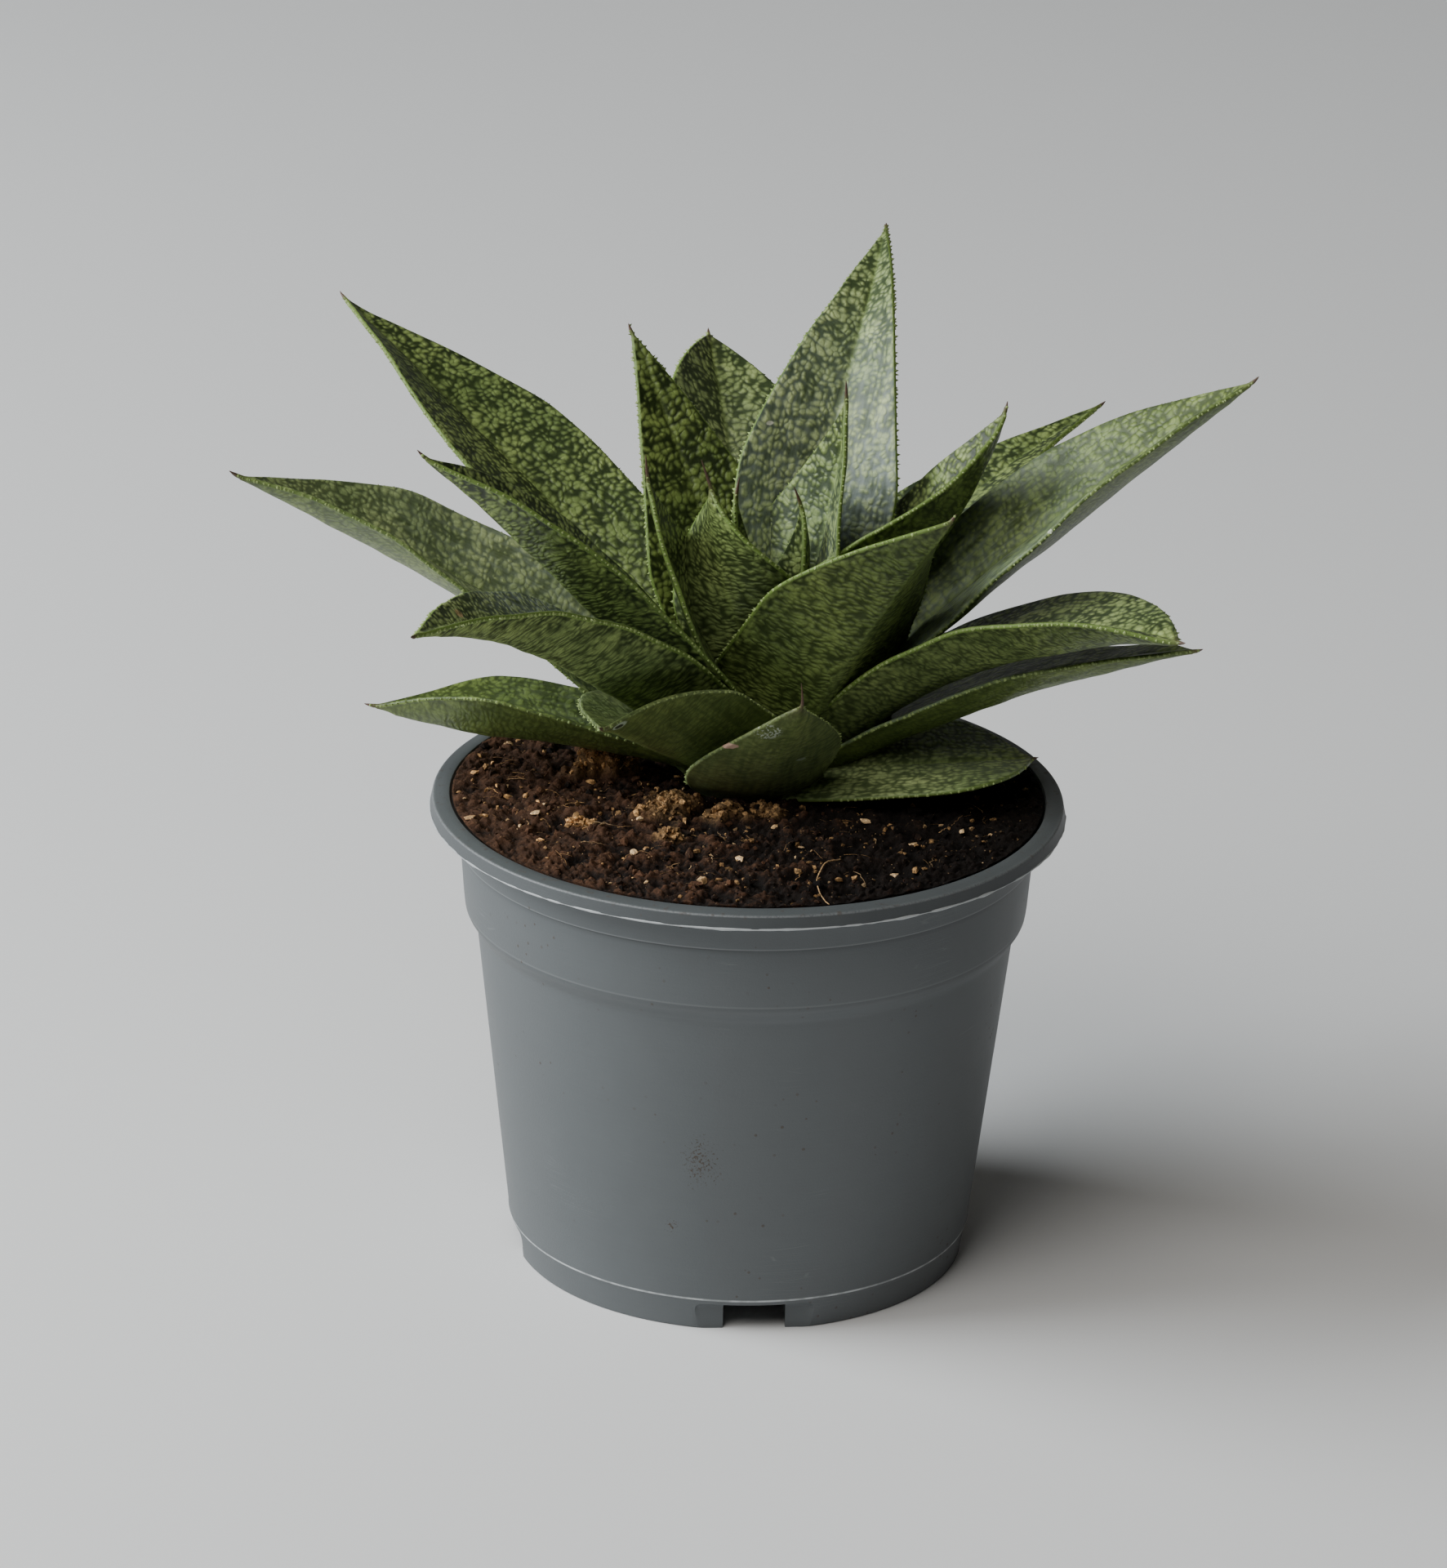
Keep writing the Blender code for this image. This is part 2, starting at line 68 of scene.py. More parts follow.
# Pot, in millimetres
RIM_RADIUS = 60.0
POT_HEIGHT = 92.0
LIP_DEPTH = 2.8
LIP_FLARE = 0.4
LIP_ROUND = 0.5
LIP_SLOPE = 0.3
LIP_BORE_RADIUS = 56.6
LIP_BORE_DEPTH = 1.1
LIP_BORE_CHAMFER = 0.3
LIP_INNER_RISE = 0.4
LIP_FOOT = POT_HEIGHT - LIP_DEPTH
LIP_EDGE = POT_HEIGHT - LIP_SLOPE
FLASH_RADIUS = RIM_RADIUS + LIP_FLARE - 0.12
FLASH_THICKNESS = 0.2
COLLAR_RADIUS = 55.6
COLLAR_FOOT_RADIUS = 53.6
COLLAR_STEP_HEIGHT = 82.6
COLLAR_STEP_DEPTH = 0.42
COLLAR_STEP_REACH = 3.0
COLLAR_ROUND = 0.5
SHOULDER_TOP = 70.5
SHOULDER_FOOT = 66.0
BODY_TOP_RADIUS = 51.3
BODY_FOOT_RADIUS = 44.6
SEAM_HEIGHT = 6.6
SEAM_DEPTH = 0.9
FOOT_RADIUS = 43.5
FOOT_FLARE = 0.8
FOOT_ROUND = 0.35
WALL = 1.6
FLOOR_UNDERSIDE = 5.4
FLOOR_CORNER = 1.2
FLOOR_RING_RADIUS = 20.0
FOOT_RING_WIDTH = 2.4
FOOT_INNER_RADIUS = FOOT_RADIUS - FOOT_RING_WIDTH
NOTCH_COUNT = 4
NOTCH_TURN = 4.5
NOTCH_REACH = 3.0
NOTCH_WIDTH = 11.8
NOTCH_HEIGHT = 5.1
NOTCH_CORNER = 0.6
RECESS_WIDTH = 23.5
RECESS_HEIGHT = 5.6
RECESS_DEPTH = 1.4
RECESS_CORNER = 1.6

# Soil, in millimetres
SOIL_RADIUS = 56.2
SOIL_EDGE_HEIGHT = 91.6
SOIL_CALM_WIDTH = 8.0
SOIL_CROWN_HEIGHT = 93.6
SOIL_LUMP = 0.9
SOIL_LUMP_SPACING = 7.0
SOIL_FLOOR = 7.4
CRUMB_SPACING = 2.3
SMALL_CRUMB_SPACING = 1.05
CRUMB_HEIGHT = 0.9
SMALL_CRUMB_HEIGHT = 0.4
# Seed of all random draws in the soil, and points across the bed
SOIL_SEED = 12
BED_STEPS = 270
# Radius and height of the rings that the bed's edge is drawn down to
BED_RINGS = (
    (COLLAR_RADIUS - WALL - 0.4, 89.0),
    (BODY_TOP_RADIUS - WALL - 0.4, SHOULDER_FOOT),
    (BODY_FOOT_RADIUS - WALL - 0.8, SOIL_FLOOR),
    (0.2, SOIL_FLOOR),
)
# How many forms of stones and of fibres there are, and points along a fibre and the root
CHUNK_FORMS = 6
STRAND_FORMS = 8
STRAND_STEPS = 8
ROOT_STEPS = 44
# Bends of the curled root: place and height above the bed
ROOT_BENDS = (
    (17.6, -36.4, 0.2), (15.4, -38.6, 1.0), (13.5, -42.0, 1.5), (12.7, -46.0, 1.5),
    (13.0, -50.0, 1.1), (14.1, -53.0, 0.6), (15.3, -54.6, 0.1),
)
# Golden clumps of old compost: middle, reach along and across, turn in degrees, rise
CLUMPS = (
    (-28.6, 5.5, 7.5, 4.5, -6.0, 5.2),
    (-14.8, -13.0, 6.0, 9.0, -24.0, 2.2),
    (-4.4, -16.5, 5.6, 4.0, 10.0, 1.8),
    (3.6, -14.5, 3.6, 3.4, 0.0, 2.0),
    (-14.5, -27.0, 3.2, 3.0, 0.0, 1.0),
    (-30.5, -20.0, 3.6, 2.6, 5.0, 0.6),
)
# Larger stones and chips that stand out: place, size across, how golden, how pale
CHIPS = (
    (-52.0, -17.6, 2.4, 0.5, 0.3), (-39.9, -16.9, 2.2, 0.2, 0.9), (22.1, -17.3, 2.4, 0.1, 0.9),
    (-7.9, -46.5, 3.2, 1.0, 0.35), (-20.1, -20.7, 3.0, 0.4, 0.9), (-1.5, -34.9, 2.6, 0.3, 0.9),
    (40.0, -22.0, 2.0, 0.1, 0.8), (-21.0, -35.5, 2.2, 0.2, 0.9), (-38.5, -12.0, 2.0, 0.2, 0.9),
    (10.0, -30.0, 1.6, 0.1, 0.8), (-46.0, -1.0, 1.9, 0.1, 0.8), (31.0, -25.0, 1.8, 0.2, 0.7),
    (5.0, -21.0, 2.0, 0.8, 0.4), (-12.0, -24.0, 1.8, 0.7, 0.3), (27.0, -40.0, 1.7, 0.2, 0.8),
    (-45.0, 30.0, 2.2, 0.1, 0.8), (12.0, 46.0, 2.4, 0.4, 0.6), (42.0, 25.0, 2.2, 0.2, 0.8),
)

# Stem, in millimetres
STEM_X = 3.0
STEM_Y = 8.0
STEM_COLLAR_HEIGHT = 94.0
STEM_COLLAR_RADIUS = 12.0
STEM_TAPER = 0.2

# Leaf blades, in millimetres
LEAF_MARGIN = 0.9
LEAF_SEAT = 4.0
FLANK_POWER = 1.8
TIP_THINNING = 0.75
CREASE_ROUND = 0.5
MAP_SIZE = 200.0
LEAF_SEED = 100
MIDRIB_STEPS = 80
# Reach of the closer rows at the tip, and their number
TIP_REACH = 9.0
TIP_ROWS = 26
# What a blade has at each row along it: middle; directions; half width; depth of the keel; how
# far into the dry point the row is; thickness of the rim; half width inside the rim; distance
# along the midrib; how full the form is
Rows = namedtuple("Rows", "points along side up half depth beyond rim inner reach rounding")
# What it has at each column of its upper side: place across, from -1 to 1; whether it is on the
# face; how far out and up it stands on the round of the rim
Columns = namedtuple("Columns", "line on_face rim_out rim_up")

# Leaf: height of its base on the stem; turn, the way it points seen from above, and sweep,
# how far that changes to the tip; rise, its angle above level at the base and at the tip;
# length along the midrib; half width; place of the widest point; taper, 1 for a long point
# and 2 for a round one; twist at the base and at the tip; how much the margins rise; depth of
# the keel; width at the base as a share of the widest; length of the point; how pale the base
# of the upper face is; waxy bloom; how much of the keel there is at the base; how clear the rim
# and the spots are; how far the point bends up
Leaf = namedtuple("Leaf", (
    "name height turn sweep rise tip_rise length half_width widest taper twist tip_twist "
    "channel keel base_share point pale bloom base_keel rim hook"), defaults=(1.0, 1.0, 0.0))
LEAVES = (
    Leaf("leaf_inner_bud_right", 128, -18, 28, 72, 109, 24, 6, 0.25, 1.1, 45, 6,
         0.50, 2, 0.80, 3.5, 0.4, 0.0),
    Leaf("leaf_inner_bud", 127, 192, 1, 81, 94, 26, 4, 0.45, 1.1, -38, -19,
         0.60, 2, 0.60, 3.5, 0.4, 0.0),
    Leaf("leaf_inner_spear", 125, 8, -32, 71, 89, 48, 13, 0.40, 1, 31, 38,
         0.35, 2.5, 1.00, 3.5, 0.5, 0.4),
    Leaf("leaf_right_inner", 121, -2, 28, 31, 68, 61, 15, 0.40, 1.4, -32, -6,
         0.60, 3.5, 0.80, 1.8, 0.4, 0.2),
    Leaf("leaf_inner_keeled", 119, 238, -27, 80, 65, 44, 14, 0.35, 2.4, 45, -42,
         0.05, 5, 0.55, 6.5, 1.2, 0.0, 1.0, 1.15),
    Leaf("leaf_back_left", 116, 136, 0, 69, 54, 66, 14.5, 0.30, 1.1, -21, -16,
         0.10, 3.5, 0.70, 1.5, 0.0, 0.0),
    Leaf("leaf_back_broad", 115, 101, -2, 44, 24, 79, 15.5, 0.50, 2.2, 7, 20,
         0.40, 3.5, 0.90, 1.5, 1.2, 0.2),
    Leaf("leaf_inner_left", 114, 209, -5, 54, 82, 51, 12.5, 0.45, 1.4, -34, -26,
         0.20, 1.5, 0.65, 5.0, 0.2, 0.1),
    Leaf("leaf_back_tall", 114, 56, 29, 85, 9, 101, 15.5, 0.35, 1, 45, -28,
         0.50, 3.5, 0.55, 1.5, 1.5, 1.2),
    Leaf("leaf_right_back", 113, 43, -2, 36, 13, 89, 12, 0.40, 1.4, 10, -10,
         0.25, 3.5, 0.65, 1.5, 0.4, 0.3),
    Leaf("leaf_left_high", 109, 149, -16, 37, 22, 116, 16.5, 0.60, 1.4, -22, 22,
         0.30, 3.5, 0.55, 1.8, 0.25, 0.0),
    Leaf("leaf_rear_upper", 106, 85, 5, 39, 22, 84, 14, 0.35, 1.4, 3, 0,
         0.35, 4.5, 0.80, 1.5, 0.2, 0.0),
    Leaf("leaf_front_upright", 104, -53, 28, 64, 47, 64, 17.5, 0.45, 1.9, -31, -12,
         0.40, 4, 1.10, 1.5, 0.3, 0.1),
    Leaf("leaf_right_long", 104, 1, -11, 47, 37, 109, 14.5, 0.60, 1.5, 26, 3,
         0.40, 4, 0.55, 1.5, 0.2, 1.1, 1.0, 0.7),
    Leaf("leaf_left_middle", 103, 218, -22, 53, 38, 92, 11.5, 0.50, 2, -13, 2,
         0.60, 3.5, 1.00, 1.8, 0.4, 0.3, 1.0, 1.2),
    Leaf("leaf_right_drooping", 101, -11, -38, 47, 2, 89, 15.5, 0.60, 1.9, -11, 0,
         0.30, 5, 0.65, 1.5, 1.1, 0.3),
    Leaf("leaf_left_front", 100, 219, 32, 47, 8, 115, 11.5, 0.35, 1.6, 7, -10,
         0.60, 5.5, 1.00, 1.8, 1.2, 2.2, 1.0, 1.1),
    Leaf("leaf_rear_low", 98, 80, -5, 30, 17, 92, 13, 0.35, 1.4, 5, 11,
         0.60, 3.5, 0.75, 1.5, 0.1, 0.0),
    Leaf("leaf_left_long", 98, 177, 30, 40, 26, 111, 13.5, 0.65, 1.4, -47, 8,
         0.40, 3.5, 0.65, 1.8, 1.6, 0.8, 1.0, 0.75),
    Leaf("leaf_front_left_short", 97, 227, 22, 35, 18, 50, 16, 0.45, 1.5, 4, 21,
         0.60, 3, 1.05, 1.2, 1.0, 0.3, 1.0, 0.5),
    Leaf("leaf_right_under", 97, -2, -30, 32, 14, 81, 13, 0.45, 1.9, -11, -5,
         0.15, 4, 0.55, 1.5, 0.0, 0.6, 1.0, 0.6),
    Leaf("leaf_rear_right_low", 97, 48, -6, 9, 4, 83, 11, 0.35, 1.4, -13, -5,
         0.30, 3.5, 0.80, 1.5, 0.2, 0.0),
    Leaf("leaf_front_stub", 96, -94, 45, 43, 45, 38, 15, 0.35, 1.7, 13, -2,
         0.00, 5, 0.80, 3.0, 3.0, 0.1, 1.0, 0.5, 3.2),
    Leaf("leaf_right_low", 96, -16, 28, 9, 0, 42, 17, 0.60, 2.4, 11, -3,
         0.10, 4, 0.85, 1.2, 1.1, 0.0, 1.0, 0.8),
    Leaf("leaf_rear_left_low", 96, 128, 0, 20, 17, 93, 13.5, 0.35, 1.4, 10, 11,
         0.60, 3.5, 0.80, 1.5, 0.1, 0.0),
    Leaf("leaf_left_low", 95, 191, -18, 23, -2, 67, 12.5, 0.65, 1.3, -8, 20,
         0.45, 4.5, 0.60, 1.8, 0.0, 0.3, 0.4, 0.6),
)

# Old marks on the leaves: middle, measured from the middle of the pot; reach across and up;
# how broken up the mark is; colour
MARKS = (
    ((-3.8, -24.8, 111.1), 1.9, 0.7, 0.0, (0.6, 0.4, 0.3)),
    ((3.4, -26.4, 114.6), 3.0, 2.0, 1.0, (0.5, 0.56, 0.45)),
    ((9.7, -15.5, 105.2), 1.2, 0.4, 0.6, (0.4, 0.46, 0.35)),
    ((-24.0, -33.6, 118.1), 1.8, 1.1, 0.1, (0.42, 0.5, 0.36)),
    ((-23.9, -33.6, 117.8), 1.2, 0.6, 0.0, (0.02, 0.03, 0.015)),
    ((-52.8, -57.1, 148.1), 1.3, 0.9, 0.3, (0.42, 0.28, 0.14)),
    ((54.9, -8.5, 149.0), 0.7, 0.5, 0.0, (0.5, 0.55, 0.42)),
    ((2.6, 24.8, 157.8), 0.8, 0.4, 0.0, (0.6, 0.6, 0.5)),
)

# Studio, in metres
FLOOR_SIZE = 6.0
SWEEP_RADIUS = 0.8
SWEEP_STEPS = 12
WALL_RISE = 1.6
LAMP_SIZE = 1.3
LAMP_AIM_HEIGHT = 0.09

# The photograph's view: how far the camera stands from the point that it looks at, and that
# point's place beside the pot's middle and height, in metres; how far the camera looks down and
# how far it is rolled, in radians; its focal length and the picture's height, in pixels
VIEW_DISTANCE = 1.31487
VIEW_ASIDE = -0.004687
VIEW_HEIGHT = 0.093738
VIEW_PITCH = 0.376926
VIEW_ROLL = 0.0221
VIEW_FOCAL = 8480.41
PICTURE_HEIGHT = 1920
SENSOR_HEIGHT = 36.0


def colour_setting(label, description, default):
    return FloatVectorProperty(name=label, description=description, default=default,
                               subtype="COLOR", size=3, min=0.0, max=1.0)


def length_setting(label, description, default):
    return FloatProperty(name=label, description=description, default=default, min=0.0,
                         unit="LENGTH")


def power_setting(label, description, default):
    return FloatProperty(name=label, description=description, default=default, min=0.0,
                         unit="POWER")


def share_setting(label, description, default):
    return FloatProperty(name=label, description=description, default=default, min=0.0, max=1.0,
                         subtype="FACTOR")


def count_setting(label, description, default):
    return IntProperty(name=label, description=description, default=default, min=0)


class PotSettings(bpy.types.PropertyGroup):
    colour: colour_setting("Plastic", "Colour of the moulded plastic", (0.098, 0.109, 0.114))
    flash_colour: colour_setting("Flash", "Thin flash left by the mould", (0.62, 0.65, 0.66))
    dust_colour: colour_setting("Dust", "Dry soil dust on the plastic", (0.07, 0.05, 0.035))
    roughness: share_setting("Roughness", "Roughness of the plastic", 0.5)
    steps: count_setting("Steps", "Steps round the turned shell", 192)


class SoilSettings(bpy.types.PropertyGroup):
    earth_colour: colour_setting("Earth", "Damp potting soil", (0.015, 0.0075, 0.0042))
    dry_colour: colour_setting("Dry earth", "Dry crumbs", (0.078, 0.036, 0.018))
    clump_colour: colour_setting("Clumps", "Golden compost clumps", (0.46, 0.27, 0.115))
    grit_colour: colour_setting("Grit", "Pale grit", (0.62, 0.43, 0.24))
    crumbs: count_setting("Crumbs", "Loose crumbs of earth", 1300)
    clump_crumbs: count_setting("Clump crumbs", "Crumbs on the golden clumps", 1000)
    grit: count_setting("Grit count", "Small pale stones", 460)
    fibres: count_setting("Fibres", "Short fibres of coir and root", 420)


class LeafSettings(bpy.types.PropertyGroup):
    ground_colour: colour_setting("Ground", "Dark green between the spots", (0.014, 0.025, 0.0045))
    spot_colour: colour_setting("Spots", "Green of the raised spots", (0.235, 0.32, 0.095))
    pale_ground: colour_setting("Pale ground", "Ground of the palest leaves", (0.05, 0.075, 0.03))
    pale_spot: colour_setting("Pale spots", "Spots of the palest leaves", (0.47, 0.565, 0.285))
    margin_colour: colour_setting("Margin", "Smooth rim of each leaf", (0.14, 0.215, 0.045))
    bloom_colour: colour_setting("Bloom", "Waxy bloom", (0.23, 0.275, 0.28))
    point_colour: colour_setting("Point", "Dry point of each leaf", (0.1, 0.058, 0.04))
    tooth_colour: colour_setting("Teeth", "Tiny teeth of the margins", (0.3, 0.38, 0.14))
    spot_spacing: length_setting("Spot spacing", "Distance between spots", 0.0014)
    detail: length_setting("Detail", "Distance between a blade's points", 0.00075)
    tooth_spacing: length_setting("Tooth spacing", "Distance between teeth", 0.00095)


class StemSettings(bpy.types.PropertyGroup):
    colour: colour_setting("Stem", "Green of the stem", (0.12, 0.19, 0.05))
    ring_colour: colour_setting("Rings", "Rings where old leaves were", (0.2, 0.25, 0.1))


class StudioSettings(bpy.types.PropertyGroup):
    floor_colour: colour_setting("Floor", "Colour of the studio floor", (0.8, 0.8, 0.8))
    window: power_setting("Window", "Power of the large light from the left", 46.0)
    fill: power_setting("Fill", "Power of the light above the camera", 16.5)
    ambient: share_setting("Ambient", "Light from all round", 0.05)


def clamp(value, low=0.0, high=1.0):
    return min(high, max(low, value))


def unit(values):
    """Keeps the numbers of an array between 0 and 1."""
    return np.clip(values, 0.0, 1.0)


def grey(level):
    return (level,) * 3


def in_metres(*sizes):
    """A vector in metres from sizes in millimetres."""
    return Vector([size * MM for size in sizes])


def pick(*things):
    """Selects these objects alone, or none, and makes the first one active."""
    for thing in bpy.context.selected_objects:
        thing.select_set(False)
    for thing in things:
        thing.select_set(True)
    if things:
        bpy.context.view_layer.objects.active = things[0]


def edit(piece, *steps):
    """Runs edit mode operators on everything in a piece."""
    pick(piece)
    bpy.ops.object.mode_set(mode="EDIT")
    bpy.ops.mesh.select_all(action="SELECT")
    for step in steps:
        step()
    bpy.ops.object.mode_set(mode="OBJECT")


def close_skin(piece):
    """Merges a piece's doubled points and turns its faces outwards."""
    edit(piece, lambda: bpy.ops.mesh.remove_doubles(threshold=DOUBLED),
         lambda: bpy.ops.mesh.normals_make_consistent(inside=False))


def smooth(piece, angle=180.0):
    """Shades a piece smooth, but for edges sharper than an angle in degrees."""
    pick(piece)
    bpy.ops.object.shade_smooth_by_angle(angle=math.radians(angle))


def apply_modifiers(piece):
    pick(piece)
    for modifier in list(piece.modifiers):
        bpy.ops.object.modifier_apply(modifier=modifier.name)


def settle(piece):
    """Moves an object's place, turn and scale into its mesh."""
    pick(piece)
    bpy.ops.object.transform_apply(location=True, rotation=True, scale=True)


def join(*things):
    pick(*things)
    bpy.ops.object.join()
    return things[0]


def remove(*things):
    for thing in things:
        bpy.data.objects.remove(thing, do_unlink=True)


def give_values(piece, name, values):
    """Stores a colour for every point of a piece."""
    values = np.broadcast_to(np.asarray(values, float), (len(piece.data.vertices), 3))
    stored = piece.data.attributes.new(name, "FLOAT_COLOR", "POINT")
    stored.data.foreach_set("color", np.column_stack([values, np.ones(len(values))]).ravel())


def finish_piece(piece, name, slot, finish, *nodes, angle=180.0):
    """Moves a piece to the pot, smooths it, and says what it is and which nodes it replaces."""
    piece.location = POT_MIDDLE
    settle(piece)
    smooth(piece, angle)
    piece.name = piece.data.name = name
    piece.data.materials.clear()
    piece.data.materials.append(finish)
    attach(piece, "root")
    if nodes:
        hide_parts(*nodes)


def wrapped(rings):
    """Wraps a grid into a closed skin, and gives the row and column of each of its points.

    rings is rows of points in millimetres, in which the first and last column are alike.
    """
    rows, columns = rings.shape[:2]
    pick()
    bpy.ops.mesh.primitive_grid_add(x_subdivisions=columns - 1, y_subdivisions=rows - 1, size=1.0)
    piece = bpy.context.object
    flat = np.empty(len(piece.data.vertices) * 3)
    piece.data.vertices.foreach_get("co", flat)
    flat = flat.reshape(-1, 3)
    column = np.rint((flat[:, 0] + 0.5) * (columns - 1)).astype(int)
    row = np.rint((flat[:, 1] + 0.5) * (rows - 1)).astype(int)
    piece.data.vertices.foreach_set("co", (rings[row, column] * MM).ravel())
    piece.data.update()
    return piece, row, column


def copies(source, places):
    """One mesh of many copies of a modelled piece, each placed by a matrix."""
    points = np.array([v.co[:] for v in source.data.vertices])
    faces = [tuple(p.vertices) for p in source.data.polygons]
    places = [np.array(p) for p in places]
    spots = np.concatenate([points @ p[:3, :3].T + p[:3, 3] for p in places])
    starts = range(0, len(spots), len(points))
    mesh = bpy.data.meshes.new("copies")
    mesh.from_pydata(spots.tolist(), [],
                     [[i + start for i in face] for start in starts for face in faces])
    made = bpy.data.objects.new("copies", mesh)
    bpy.context.scene.collection.objects.link(made)
    return made


def both_forms(operation):
    """The plain and the reflected form of an operator, each as a Math node."""
    return (lambda value, other: value.maths(operation, value, other),
            lambda value, other: value.maths(operation, other, value))


class Value:
    """A node's output, which sums, products and other maths can be written with."""

    def __init__(self, finish, socket):
        self.finish, self.socket = finish, socket

    def maths(self, operation, *numbers):
        return self.finish.node("ShaderNodeMath", {"operation": operation},
                                dict(enumerate(numbers)))

    def larger(self, other):
        return self.maths("MAXIMUM", self, other)

    __add__, __radd__ = both_forms("ADD")
    __sub__, __rsub__ = both_forms("SUBTRACT")
    __mul__, __rmul__ = both_forms("MULTIPLY")
    __pow__, __rpow__ = both_forms("POWER")


class Finish:
    """A Principled material and the nodes that feed it."""

    def __init__(self, name):
        self.material = bpy.data.materials.new(name)
        self.material.use_nodes = True
        self.tree = self.material.node_tree
        self.shader = self.tree.nodes["Principled BSDF"]

    def node(self, kind, settings=None, sockets=None, out=0):
        """Adds a node: its settings first, then the values or links of its sockets."""
        made = self.tree.nodes.new(kind)
        for name, value in (settings or {}).items():
            setattr(made, name, value)
        for name, value in (sockets or {}).items():
            self.feed(made.inputs[name], value)
        return Value(self, made.outputs[out])

    def feed(self, socket, value):
        if isinstance(value, Value):
            self.tree.links.new(value.socket, socket)
        elif socket.type == "RGBA":
            socket.default_value = (*value[:3], 1.0)
        else:
            socket.default_value = value

    def rise(self, value, low, high):
        """A smooth step from 0 at low to 1 at high."""
        return self.node("ShaderNodeMapRange", {"interpolation_type": "SMOOTHSTEP"},
                         {0: value, 1: low, 2: high})

    def band(self, value, low, start, end, high):
        """1 from start to end, which falls smoothly to 0 at low and at high."""
        return self.rise(value, low, start) * self.rise(value, high, end)

    def mix(self, share, one, other, blend="MIX"):
        """Blends one colour with another, by a share."""
        return self.node("ShaderNodeMix", {"data_type": "RGBA", "blend_type": blend},
                         {0: share, 6: one, 7: other}, 2)

    def tint(self, share, one, other):
        """Multiplies one colour by another, by a share."""
        return self.mix(share, one, other, "MULTIPLY")

    def vary(self, share, base, level, darkest, lightest):
        """Tints a colour between a darkest and a lightest tint, as a level says."""
        return self.tint(share, base, self.mix(level, darkest, lightest))

    def split(self, kind, value):
        """The three numbers of a colour or a vector."""
        outputs = self.node(kind, sockets={0: value}).socket.node.outputs
        return [Value(self, output) for output in outputs[:3]]

    def stored(self, name):
        """The three numbers stored under a name at each point."""
        return self.split("ShaderNodeSeparateColor",
                          self.node("ShaderNodeAttribute", {"attribute_name": name}))

    def parts(self, vector):
        return self.split("ShaderNodeSeparateXYZ", vector)

    def vector(self, x, y, z):
        return self.node("ShaderNodeCombineXYZ", sockets={0: x, 1: y, 2: z})

    def place(self, centre=(0.0, 0.0, 0.0)):
        """The place on the object in millimetres, measured from a centre in metres."""
        return self.node("ShaderNodeMapping", sockets={
            "Vector": self.node("ShaderNodeTexCoord", out="Object"),
            "Location": [-c * PER_METRE for c in centre], "Scale": (PER_METRE,) * 3})

    def cloud(self, where, scale, detail=3.0, roughness=0.55, distortion=0.0):
        return self.node("ShaderNodeTexNoise", sockets={
            "Vector": where, "Scale": scale, "Detail": detail, "Roughness": roughness,
            "Distortion": distortion})

    def cells(self, where, scale, feature="F1"):
        return self.node("ShaderNodeTexVoronoi", {"feature": feature},
                         {"Vector": where, "Scale": scale}, "Distance")

    def surface(self, sockets, bump=None, depth=0.0):
        """Sets the shader's sockets, and bumps it by a height times a depth in metres."""
        if bump is not None:
            sockets["Normal"] = self.node("ShaderNodeBump", sockets={
                "Height": bump, "Distance": depth, "Strength": 1.0}, out="Normal")
        for name, value in sockets.items():
            self.feed(self.shader.inputs[name], value)
        return self.material


